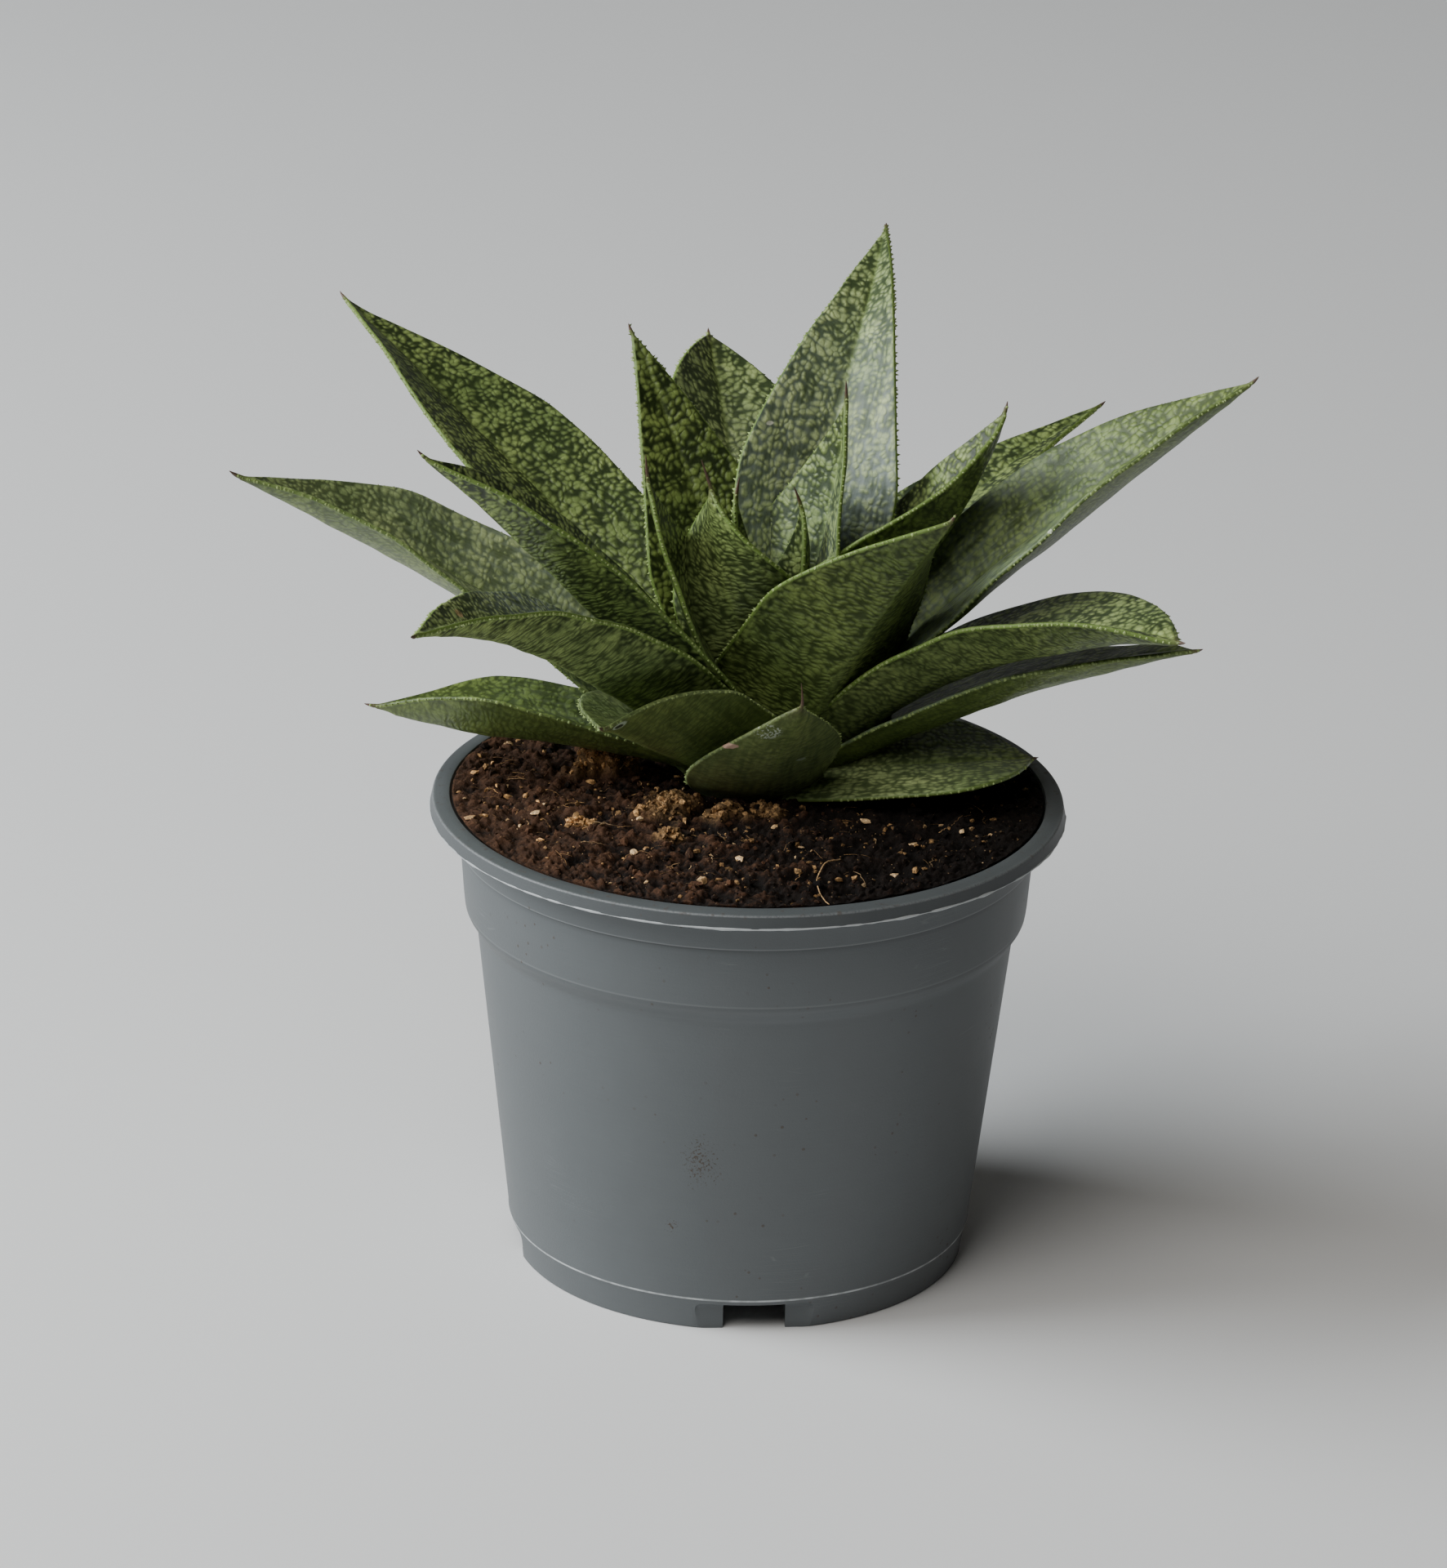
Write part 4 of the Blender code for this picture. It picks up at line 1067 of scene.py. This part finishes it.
class MakeSoil(bpy.types.Operator):
    """Models the soil bed with its crumbs, golden clumps, grit, fibres and a curled root"""
    bl_idname = "gasteria.make_soil"
    bl_label = "Make soil"
    bl_options = {"REGISTER", "UNDO"}

    def execute(self, context):
        settings = context.scene.gasteria_soil
        rng = np.random.default_rng(SOIL_SEED)
        noise.seed_set(SOIL_SEED)
        self.make_bed(settings)
        self.make_crumbs(settings, rng)
        self.make_stones(settings, rng)
        self.make_fibres(settings, rng)
        self.make_root(settings)
        return {"FINISHED"}

    def make_bed(self, settings):
        """A fine grid rounded to a disc, raised into crumbs, and drawn down to fill the pot."""
        pick()
        bpy.ops.mesh.primitive_grid_add(x_subdivisions=BED_STEPS, y_subdivisions=BED_STEPS,
                                        size=2.0)
        bed = bpy.context.object
        for vertex in bed.data.vertices:
            u, v, _ = vertex.co
            x = u * math.sqrt(1.0 - v * v / 2.0) * SOIL_RADIUS
            y = v * math.sqrt(1.0 - u * u / 2.0) * SOIL_RADIUS
            vertex.co = in_metres(x, y, bed_height(x, y))
        for radius, height in BED_RINGS:
            self.draw_down(bed, radius, height)
        close_skin(bed)
        places = np.array([v.co[:] for v in bed.data.vertices])[:, :2] / MM
        golden = np.array([clump_share(x, y)[0] for x, y in places])
        chance = np.array([clamp(0.4 + 0.42 * crumb_relief(x, y)) for x, y in places])
        give_values(bed, "matter", np.column_stack([golden, 0.0 * golden, chance]))
        finish_piece(bed, "soil_bed", "soil", earth_finish(settings, "soil_earth", 0.9), "soil")

    def draw_down(self, bed, radius, height):
        """Extrudes the bed's open edge to a ring of a radius and height in mm."""
        pick(bed)
        bpy.ops.object.mode_set(mode="EDIT")
        bpy.ops.mesh.select_mode(type="EDGE")
        bpy.ops.mesh.select_all(action="DESELECT")
        bpy.ops.mesh.select_non_manifold()
        bpy.ops.mesh.extrude_region_move(TRANSFORM_OT_translate={"value": (0.0, 0.0, 0.0)})
        form = bmesh.from_edit_mesh(bed.data)
        for vertex in form.verts:
            if vertex.select:
                flat = Vector((vertex.co.x, vertex.co.y)).normalized() * radius * MM
                vertex.co = (flat.x, flat.y, height * MM)
        bmesh.update_edit_mesh(bed.data)
        if radius < 1.0:
            bpy.ops.mesh.merge(type="CENTER")
        bpy.ops.mesh.select_mode(type="VERT")
        bpy.ops.object.mode_set(mode="OBJECT")

    def spread(self, rng, count, reach=SOIL_RADIUS - 1.2):
        """Random places on the bed."""
        radius = reach * np.sqrt(rng.uniform(0.0, 1.0, count))
        turn = rng.uniform(0.0, math.tau, count)
        return np.column_stack([radius * np.cos(turn), radius * np.sin(turn)])

    def make_crumbs(self, settings, rng):
        """Loose crumbs of earth all over, and golden ones on the clumps."""
        count = settings.crumbs
        sizes = 0.5 + 1.8 * rng.uniform(0.0, 1.0, count) ** 4
        matter = [(0.0, 0.0, c) for c in rng.uniform(0.0, 1.0, count)]
        crumbs = strewn(rng, chunks(rng, 0.38), self.spread(rng, count), sizes, matter)
        finish_piece(crumbs, "soil_crumbs", "soil",
                     earth_finish(settings, "soil_crumb_earth", 1.15), angle=35.0)
        places = []
        while len(places) < settings.clump_crumbs:
            for place in self.spread(rng, 200):
                if rng.uniform() < clump_share(*place)[0] ** 2 + 0.01:
                    places.append(place)
        sizes = 0.5 + 1.2 * rng.uniform(0.0, 1.0, len(places)) ** 2
        matter = [(rng.uniform(0.6, 1.0), 0.0, rng.uniform(0.2, 1.0)) for _ in places]
        golden = strewn(rng, chunks(rng, 0.38), places, sizes, matter)
        finish_piece(golden, "soil_golden_crumbs", "soil",
                     earth_finish(settings, "soil_golden_earth", 1.2), angle=35.0)

    def make_stones(self, settings, rng):
        """Small pale grit, and the larger stones and chips that stand out."""
        sizes = 0.2 + 0.9 * rng.uniform(0.0, 1.0, settings.grit) ** 4
        matter = [(rng.uniform(0.3, 1.0), rng.uniform(0.0, 1.0) ** 2, rng.uniform(0.1, 1.0))
                  for _ in sizes]
        grit = strewn(rng, chunks(rng, 0.4), self.spread(rng, len(sizes)), sizes, matter, sink=0.1)
        finish_piece(grit, "soil_grit", "soil",
                     earth_finish(settings, "soil_grit_stone", 1.2, 0.5), angle=35.0)
        stones = strewn(rng, chunks(rng, 0.42), [(x, y) for x, y, *_ in CHIPS],
                        [size * 0.85 for _, _, size, *_ in CHIPS],
                        [(golden, pale, 0.9) for *_, golden, pale in CHIPS], (0.3, 0.55), 0.0)
        finish_piece(stones, "soil_stones", "soil",
                     earth_finish(settings, "soil_stone", 1.2, 0.6), angle=25.0)

    def make_fibres(self, settings, rng):
        """Short bent threads, modelled in a few forms and strewn."""
        strands = []
        for _ in range(STRAND_FORMS):
            bend, lift = rng.uniform(-0.35, 0.35), rng.uniform(0.02, 0.12)
            steps = np.linspace(-0.5, 0.5, STRAND_STEPS)
            bow = 0.25 - steps ** 2
            kinks = 0.03 * rng.standard_normal(STRAND_STEPS)
            path = np.column_stack([steps, bend * bow * 2.0 + kinks, lift * bow * 4.0])
            strand, _, _ = wrapped(thread(path, np.full(STRAND_STEPS, 0.014)))
            close_skin(strand)
            strands.append(strand)
        copier = Copier(rng, strands)
        for x, y in self.spread(rng, settings.fibres, SOIL_RADIUS - 4.0):
            kind = rng.integers(len(strands))
            length = 1.2 + 4.5 * rng.uniform() ** 2.5
            turn = copier.turn(0.25, "Y")
            place = Matrix.Translation(in_metres(x, y, bed_height(x, y) + 0.35))
            copier.add(kind, place @ turn @ Matrix.Diagonal((length, length, length, 1.0)),
                       (rng.uniform(), rng.uniform() ** 8, rng.uniform(0.1, 0.9)))
        finish_piece(copier.piece(), "soil_fibres", "soil",
                     earth_finish(settings, "soil_fibre", 1.3, 0.3))

    def make_root(self, settings):
        """One pale dry root that curls up out of the soil by the front."""
        bends = np.array(ROOT_BENDS)
        turns = np.linspace(0.0, len(bends) - 1.0, ROOT_STEPS)
        path = [np.interp(turns, range(len(bends)), bends[:, i]) for i in range(3)]
        path = [(x, y, bed_height(x, y) + lift) for x, y, lift in zip(*path)]
        # Each number along the path becomes the mean of the nine about it
        path = np.column_stack([np.convolve(np.pad(line, 4, "edge"), np.ones(9) / 9.0, "valid")
                                for line in zip(*path)])
        root, _, _ = wrapped(thread(path, np.linspace(0.17, 0.09, ROOT_STEPS), 8))
        close_skin(root)
        give_values(root, "matter", (1.0, 0.35, 0.7))
        finish_piece(root, "soil_root", "soil", earth_finish(settings, "soil_root_skin", 1.1, 0.3))


def stem_radius(height):
    return STEM_COLLAR_RADIUS - STEM_TAPER * (height - STEM_COLLAR_HEIGHT)


class FinishStem(bpy.types.Operator):
    """Gives the stem its green skin"""
    bl_idname = "gasteria.finish_stem"
    bl_label = "Finish stem"
    bl_options = {"REGISTER", "UNDO"}

    def execute(self, context):
        skin = stem_finish(context.scene.gasteria_stem)
        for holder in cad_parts["stem"].material_slots:
            holder.material = skin
        return {"FINISHED"}


def midrib(leaf, places):
    """Points, directions, side and up vectors of a leaf's midrib at places from 0 to 1."""
    fine = np.linspace(0.0, 1.0, MIDRIB_STEPS + 1)

    def direction(t):
        turn = np.radians(leaf.turn + leaf.sweep * t)
        rise = np.radians(leaf.rise + (leaf.tip_rise - leaf.rise) * t)
        return np.stack([np.cos(rise) * np.cos(turn), np.cos(rise) * np.sin(turn),
                         np.sin(rise)], -1)

    steps = direction((fine[1:] + fine[:-1]) / 2) * leaf.length / MIDRIB_STEPS
    path = np.concatenate([np.zeros((1, 3)), np.cumsum(steps, 0)])
    seat = stem_radius(leaf.height) - 0.5
    turn = math.radians(leaf.turn)
    base = np.array([STEM_X + seat * math.cos(turn), STEM_Y + seat * math.sin(turn), leaf.height])
    points = base + np.stack([np.interp(places, fine, path[:, i]) for i in range(3)], -1)
    along = direction(places)
    turns = np.radians(leaf.turn + leaf.sweep * places)
    level = np.stack([-np.sin(turns), np.cos(turns), np.zeros_like(turns)], -1)
    above = np.cross(along, level)
    twist = np.radians(leaf.twist + (leaf.tip_twist - leaf.twist) * places)[:, None]
    side = level * np.cos(twist) + above * np.sin(twist)
    up = -level * np.sin(twist) + above * np.cos(twist)
    return points, along, side, up


def blade_size(leaf, places):
    """Half width and keel depth at places from 0 to 1, and how far those lie in the dry point."""
    body = 1.0 - leaf.point / leaf.length
    fine = np.linspace(0.0, 1.0, 401)
    outer = unit((fine - leaf.widest) / (1.0 - leaf.widest))
    inner = unit((leaf.widest - fine) / leaf.widest)
    share = np.where(fine < leaf.widest, 1.0 - (1.0 - leaf.base_share) * inner ** 2,
                     1.0 - outer ** leaf.taper)
    # The widest place is softened, but for the end of the blade
    kernel = np.hanning(43)
    soft = np.convolve(np.pad(share, 21, "edge"), kernel / kernel.sum(), "valid")
    share = share + (soft - share) * unit((1.0 - fine) / 0.06)
    half = leaf.half_width * np.interp(places / body, fine, share)
    beyond = unit((places - body) / (1.0 - body))
    half = np.maximum(half, 0.32 * (1.0 - beyond) ** 0.8 + 0.05)
    depth = leaf.keel * (1.0 - TIP_THINNING * np.interp(places / body, fine, outer) ** 1.3)
    depth *= 1.0 - (1.0 - leaf.base_keel) * np.interp(places / body, fine, inner) ** 0.8
    return half, np.maximum(depth, LEAF_MARGIN), beyond


def blade_rows(leaf, detail):
    """A blade's rows, closer together towards its tip."""
    tip = min(TIP_REACH, leaf.length * 0.3)
    body_end = 1.0 - tip / leaf.length
    places = np.concatenate([
        np.linspace(0.0, body_end, int((leaf.length - tip) / detail), endpoint=False),
        np.linspace(body_end, 1.0, TIP_ROWS)])
    points, along, side, up = midrib(leaf, places)
    half, depth, beyond = blade_size(leaf, places)
    points = points + up * (leaf.hook * beyond ** 1.5)[:, None]
    points = np.concatenate([points[:1] - along[:1] * LEAF_SEAT, points])
    side, up, half, depth, beyond = (
        np.concatenate([v[:1], v]) for v in (side, up, half, depth, beyond))
    half, depth, beyond = half[:, None], depth[:, None], beyond[:, None]
    rim = np.minimum(LEAF_MARGIN, 2.0 * half)
    reach = np.concatenate([[-LEAF_SEAT], places * leaf.length])[:, None]
    return Rows(points, along, side, up, half, depth, beyond, rim, half - rim / 2, reach,
                unit(half / 3.0))


def blade_columns(leaf, detail):
    """A blade's columns: left rim, upper face, right rim."""
    count = 2 * int(leaf.half_width / detail) + 3
    even = np.linspace(-1.0, 1.0, count)
    face = np.sin(even * 0.5 * math.pi) * 0.25 + even * 0.75
    quarter = np.radians([0.0, 30.0, 60.0])
    return Columns(
        line=np.concatenate([np.full(3, -1.0), face, np.full(3, 1.0)]),
        on_face=np.concatenate([np.zeros(3), np.ones(count), np.zeros(3)]),
        rim_out=np.concatenate([-np.cos(quarter), np.zeros(count), np.cos(quarter[::-1])]),
        rim_up=np.concatenate([np.sin(quarter), np.zeros(count), np.sin(quarter[::-1])]))


def round_blade(upper, lower):
    """Columns all round a blade: the upper side, then back along the lower one."""
    return np.concatenate([upper, lower[:, -2::-1]], 1)


def blade_section(leaf, rows, columns, seed):
    """How far out and how far up each point of each ring stands from the midrib, in mm."""
    line, on_face = columns.line, columns.on_face
    out = line * rows.inner + columns.rim_out * rows.rim / 2
    lifted = leaf.channel * (np.sqrt((line * rows.inner) ** 2 + CREASE_ROUND ** 2) - CREASE_ROUND)
    groove = 0.3 * np.exp(-((out / 0.45) ** 2)) * unit(rows.half / 4.0 - 0.3)
    keel = (rows.depth - LEAF_MARGIN) * rows.rounding * (1.0 - np.abs(line) ** FLANK_POWER)
    rim_up = columns.rim_up * rows.rim / 2
    top = lifted - rows.rim / 2 + np.where(on_face > 0, rows.rim / 2 - groove, rim_up)
    low = lifted - rows.rim / 2 - np.where(on_face > 0, rows.rim / 2 + keel, rim_up)

    def wave(spacing, layer):
        """A slow wave along the blade."""
        return np.array([[noise.noise(Vector((reach / spacing, seed, layer)))]
                         for reach in rows.reach[:, 0]])

    def dents(layer):
        """Soft dents all over a face."""
        return np.array([[noise.noise(Vector((o / 3.4, reach / 5.0, seed + layer))) for o in row]
                         for reach, row in zip(rows.reach[:, 0], out)])

    lean = 0.5 * wave(13.0, 7.0) * line
    sway = (0.45 * wave(17.0, 0.0) + lean) * unit(rows.reach / 15.0) * rows.rounding
    soft = rows.rounding * on_face * (1.0 - np.abs(line) ** 6)
    top = top + sway + 0.14 * dents(3.0) * soft
    low = low + sway + 0.16 * dents(9.0) * soft
    return round_blade(out, out), round_blade(top, low)


def blade_rings(rows, out, rise):
    """Rings of points round a blade, with its two ends closed."""
    rings = (rows.points[:, None] + rows.side[:, None] * out[..., None]
             + rows.up[:, None] * rise[..., None])
    rings[:, -1] = rings[:, 0]
    ends = [np.repeat(rings[i].mean(0)[None, None], rings.shape[1], 1) for i in (0, -1)]
    return np.concatenate([ends[0], rings, ends[1]])


def with_ends(rows):
    """Values of a blade's rows, with those of the rows that close its ends."""
    return np.concatenate([rows[:1], rows, rows[-1:]])


def blade_values(leaf, number, rows, columns, out):
    """What the leaf's finish reads at each point of a blade, by name."""
    flat = np.zeros_like(out)
    upper = flat + (np.arange(out.shape[1]) < len(columns.line))
    margin = np.exp(-(((rows.half - np.abs(out)) / 0.6) ** 2)) * leaf.rim
    middle = np.exp(-((out / 0.4) ** 2)) * rows.rounding
    brown = unit(rows.beyond * 1.6 + 0.55 * (rows.beyond > 0))
    before = np.exp(-np.maximum(0.0, leaf.length - leaf.point - rows.reach) / 1.2) * 0.6
    lower_part = unit(1.8 - 2.4 * rows.reach / leaf.length)
    one_side = 0.8 - 0.2 * np.tanh(out / 2.0)
    bloom = leaf.bloom * lower_part * one_side * upper
    pale = leaf.pale * (1.3 - 1.1 * unit(rows.reach / leaf.length))
    near_rim = np.exp(-(((rows.half - np.abs(out)) / 3.0) ** 2))
    rippled = (1.0 - 0.75 * leaf.rim * near_rim) * (1.0 - 0.9 * upper)
    values = {
        "skin": (upper, margin, middle),
        "age": (np.maximum(brown, before), bloom, 0.0),
        "tone": (pale, rippled, number / len(LEAVES)),
    }
    return {name: with_ends(np.stack([value + flat for value in stored], -1))
            for name, stored in values.items()}


def lay_map(piece, row, column, leaf, rows, columns):
    """Lays a blade's two faces side by side in its surface map, at true scale."""
    slope = math.sqrt(1.0 + leaf.channel ** 2)
    spread = columns.line * rows.inner * slope + columns.rim_out * rows.rim / 2 * 1.5
    upper_map, lower_map = with_ends(0.25 + spread / MAP_SIZE), with_ends(0.75 - spread / MAP_SIZE)
    along_map = with_ends(0.1 + rows.reach[:, 0] / MAP_SIZE)
    mesh = piece.data
    corner = np.empty(len(mesh.loops), int)
    mesh.loops.foreach_get("vertex_index", corner)
    last = len(columns.line) - 1
    row, column = row[corner], column[corner]
    on_top = column.reshape(-1, 4).min(1).repeat(4) < last
    u = np.where(on_top, upper_map[row, np.clip(column, 0, last)],
                 lower_map[row, np.clip(2 * last - column, 0, last)])
    layer = mesh.uv_layers[0]
    layer.name = "surface"
    layer.uv.foreach_set("vector", np.column_stack([u, along_map[row]]).ravel())


class MakeLeaves(bpy.types.Operator):
    """Models every leaf as a thick keeled blade with a toothed rim and a dry point"""
    bl_idname = "gasteria.make_leaves"
    bl_label = "Make leaves"
    bl_options = {"REGISTER", "UNDO"}

    def execute(self, context):
        settings = context.scene.gasteria_leaves
        skin = leaf_finish(settings)
        pick()
        bpy.ops.mesh.primitive_cone_add(vertices=5, radius1=1.0, radius2=0.0, depth=1.0,
                                        location=(0.0, 0.0, 0.5))
        tooth = bpy.context.object
        settle(tooth)
        for number, leaf in enumerate(LEAVES):
            blade = self.make_blade(settings, leaf, number, tooth)
            finish_piece(blade, leaf.name + "_blade", "leaf", skin, leaf.name, angle=70.0)
        remove(tooth)
        return {"FINISHED"}

    def make_blade(self, settings, leaf, number, tooth):
        rng = np.random.default_rng(LEAF_SEED + number)
        detail = settings.detail / MM
        rows, columns = blade_rows(leaf, detail), blade_columns(leaf, detail)
        out, rise = blade_section(leaf, rows, columns, 10.0 * number)
        blade, row, column = wrapped(blade_rings(rows, out, rise))
        lay_map(blade, row, column, leaf, rows, columns)
        for name, values in blade_values(leaf, number, rows, columns, out).items():
            give_values(blade, name, values[row, column])
        close_skin(blade)
        teeth = copies(tooth, self.tooth_places(settings, leaf, rows, out, rise, rng))
        give_values(teeth, "skin", (0.5, 1.0, 0.0))
        give_values(teeth, "age", (0.0, 0.0, 0.75))
        give_values(teeth, "tone", (leaf.pale, 0.0, number / len(LEAVES)))
        for piece in (blade, teeth):
            give_values(piece, "relief", (leaf.rim, 0.0, 0.0))
        return join(blade, teeth)

    def tooth_places(self, settings, leaf, rows, out, rise, rng):
        """Where each tooth of both rims stands."""
        places = []
        reach = rows.reach[:, 0]
        for column, facing in ((0, -1.0), (out.shape[1] // 2, 1.0)):
            line = rows.points + rows.side * out[:, column, None] + rows.up * rise[:, column, None]
            spot = leaf.length * 0.1
            while spot < leaf.length - leaf.point - 0.5:
                spot += settings.tooth_spacing / MM * rng.uniform(0.35, 1.9)
                at = np.array([np.interp(spot, reach, line[:, i]) for i in range(3)])
                row = clamp(int(np.searchsorted(reach, spot)) - 1, 0, len(rows.along) - 1)
                along = rows.along[row]
                outward = (rows.side[row] * facing + rows.up[row] * rng.uniform(-0.35, 0.35)
                           + along * rng.uniform(0.0, 0.5))
                outward /= np.linalg.norm(outward)
                wide, tall = rng.uniform(0.2, 0.42), rng.uniform(0.25, 0.75)
                matrix = np.eye(4)
                matrix[:3] = np.column_stack([along * wide, np.cross(outward, along) * wide,
                                              outward * tall, at - outward * 0.06]) * MM
                places.append(matrix)
        return places


class MakeStudio(bpy.types.Operator):
    """Lays the pale floor, sets the soft lights and places the camera"""
    bl_idname = "gasteria.make_studio"
    bl_label = "Make studio"
    bl_options = {"REGISTER", "UNDO"}

    def execute(self, context):
        settings = context.scene.gasteria_studio
        self.make_floor(settings)
        self.make_lights(settings)
        self.place_camera()
        return {"FINISHED"}

    def make_floor(self, settings):
        """A plane whose far edge sweeps up into a wall."""
        pick()
        bpy.ops.mesh.primitive_plane_add(size=FLOOR_SIZE, location=(0.0, -0.6, 0.0))
        floor = bpy.context.object
        settle(floor)
        bpy.ops.object.mode_set(mode="EDIT")
        bpy.ops.mesh.select_all(action="DESELECT")
        form = bmesh.from_edit_mesh(floor.data)
        far = max(v.co.y for v in form.verts)
        for edge in form.edges:
            if all(v.co.y > far - 0.001 for v in edge.verts):
                edge.select = True
        form.select_flush(True)
        bmesh.update_edit_mesh(floor.data)
        turns = [math.radians(90.0 / SWEEP_STEPS * step) for step in range(SWEEP_STEPS + 1)]
        moves = [(0.0, SWEEP_RADIUS * (math.sin(high) - math.sin(low)),
                  SWEEP_RADIUS * (math.cos(low) - math.cos(high)))
                 for low, high in zip(turns, turns[1:])]
        for move in (*moves, (0.0, 0.0, WALL_RISE)):
            bpy.ops.mesh.extrude_region_move(TRANSFORM_OT_translate={"value": move})
        bpy.ops.object.mode_set(mode="OBJECT")
        close_skin(floor)
        if floor.data.polygons[0].normal.z < 0.0:
            floor.data.flip_normals()
        smooth(floor)
        floor.name = "studio_floor"
        finish = Finish("studio_paper")
        pale = finish.vary(0.04, settings.floor_colour, finish.cloud(finish.place(), 0.4),
                           grey(0.7), grey(1.0))
        floor.data.materials.append(finish.surface({"Base Color": pale, "Roughness": 0.9}))

    def make_lights(self, settings):
        """A large soft light from the left, a weaker one from above, and some from all round."""
        for name, power, tone, place in (
                ("window", settings.window, (0.93, 0.975, 1.0), (-1.5, 0.0, 0.95)),
                ("fill", settings.fill, (1.0, 0.975, 0.93), (-0.6, -0.8, 1.45))):
            lamp = bpy.data.lights.new("studio_" + name, "AREA")
            lamp.shape = "DISK"
            lamp.size = LAMP_SIZE
            lamp.energy = power
            lamp.color = tone
            holder = bpy.data.objects.new("studio_" + name, lamp)
            bpy.context.scene.collection.objects.link(holder)
            holder.location = place
            aim = Vector((0.0, 0.0, LAMP_AIM_HEIGHT)) - holder.location
            holder.rotation_euler = aim.to_track_quat("-Z", "Y").to_euler()
        world = bpy.data.worlds.new("studio_air")
        world.use_nodes = True
        air = world.node_tree.nodes["Background"]
        air.inputs["Color"].default_value = (1.0, 0.96, 0.9, 1.0)
        air.inputs["Strength"].default_value = settings.ambient
        bpy.context.scene.world = world

    def place_camera(self):
        """The photograph's view."""
        ahead = Vector((0.0, math.cos(VIEW_PITCH), -math.sin(VIEW_PITCH)))
        place = Vector((VIEW_ASIDE, -VIEW_DISTANCE * math.cos(VIEW_PITCH),
                        VIEW_HEIGHT + VIEW_DISTANCE * math.sin(VIEW_PITCH))) + POT_MIDDLE
        right = Vector((1.0, 0.0, 0.0))
        above = right.cross(ahead)
        turned = math.cos(VIEW_ROLL) * right + math.sin(VIEW_ROLL) * above
        upright = -math.sin(VIEW_ROLL) * right + math.cos(VIEW_ROLL) * above
        lens = bpy.data.cameras.new("photograph_view")
        lens.sensor_fit = "VERTICAL"
        lens.sensor_height = SENSOR_HEIGHT
        lens.lens = SENSOR_HEIGHT * VIEW_FOCAL / PICTURE_HEIGHT
        camera = bpy.data.objects.new("photograph_view", lens)
        bpy.context.scene.collection.objects.link(camera)
        camera.matrix_world = Matrix((
            (turned.x, upright.x, -ahead.x, place.x),
            (turned.y, upright.y, -ahead.y, place.y),
            (turned.z, upright.z, -ahead.z, place.z),
            (0.0, 0.0, 0.0, 1.0)))
        bpy.context.scene.camera = camera


SETTINGS = {
    "gasteria_pot": PotSettings,
    "gasteria_soil": SoilSettings,
    "gasteria_stem": StemSettings,
    "gasteria_leaves": LeafSettings,
    "gasteria_studio": StudioSettings,
}
OPERATORS = (MakePot, MakeSoil, FinishStem, MakeLeaves, MakeStudio)


class GasteriaPanel(bpy.types.Panel):
    """Lists the pieces, each with its settings"""
    bl_idname = "VIEW3D_PT_gasteria"
    bl_label = "Potted gasteria"
    bl_space_type = "VIEW_3D"
    bl_region_type = "UI"
    bl_category = "Gasteria"

    def draw(self, context):
        for (name, group), operator in zip(SETTINGS.items(), OPERATORS):
            box = self.layout.box()
            settings = getattr(context.scene, name)
            for setting in group.__annotations__:
                box.prop(settings, setting)
            box.operator(operator.bl_idname)


def register():
    for kind in (*SETTINGS.values(), *OPERATORS, GasteriaPanel):
        bpy.utils.register_class(kind)
    for name, group in SETTINGS.items():
        setattr(bpy.types.Scene, name, PointerProperty(type=group))


def unregister():
    for name in SETTINGS:
        delattr(bpy.types.Scene, name)
    for kind in (GasteriaPanel, *OPERATORS, *SETTINGS.values()):
        bpy.utils.unregister_class(kind)


def main():
    register()
    bpy.ops.gasteria.make_pot()
    bpy.ops.gasteria.make_soil()
    bpy.ops.gasteria.finish_stem()
    bpy.ops.gasteria.make_leaves()
    bpy.ops.gasteria.make_studio()


if __name__ == "__main__":
    main()
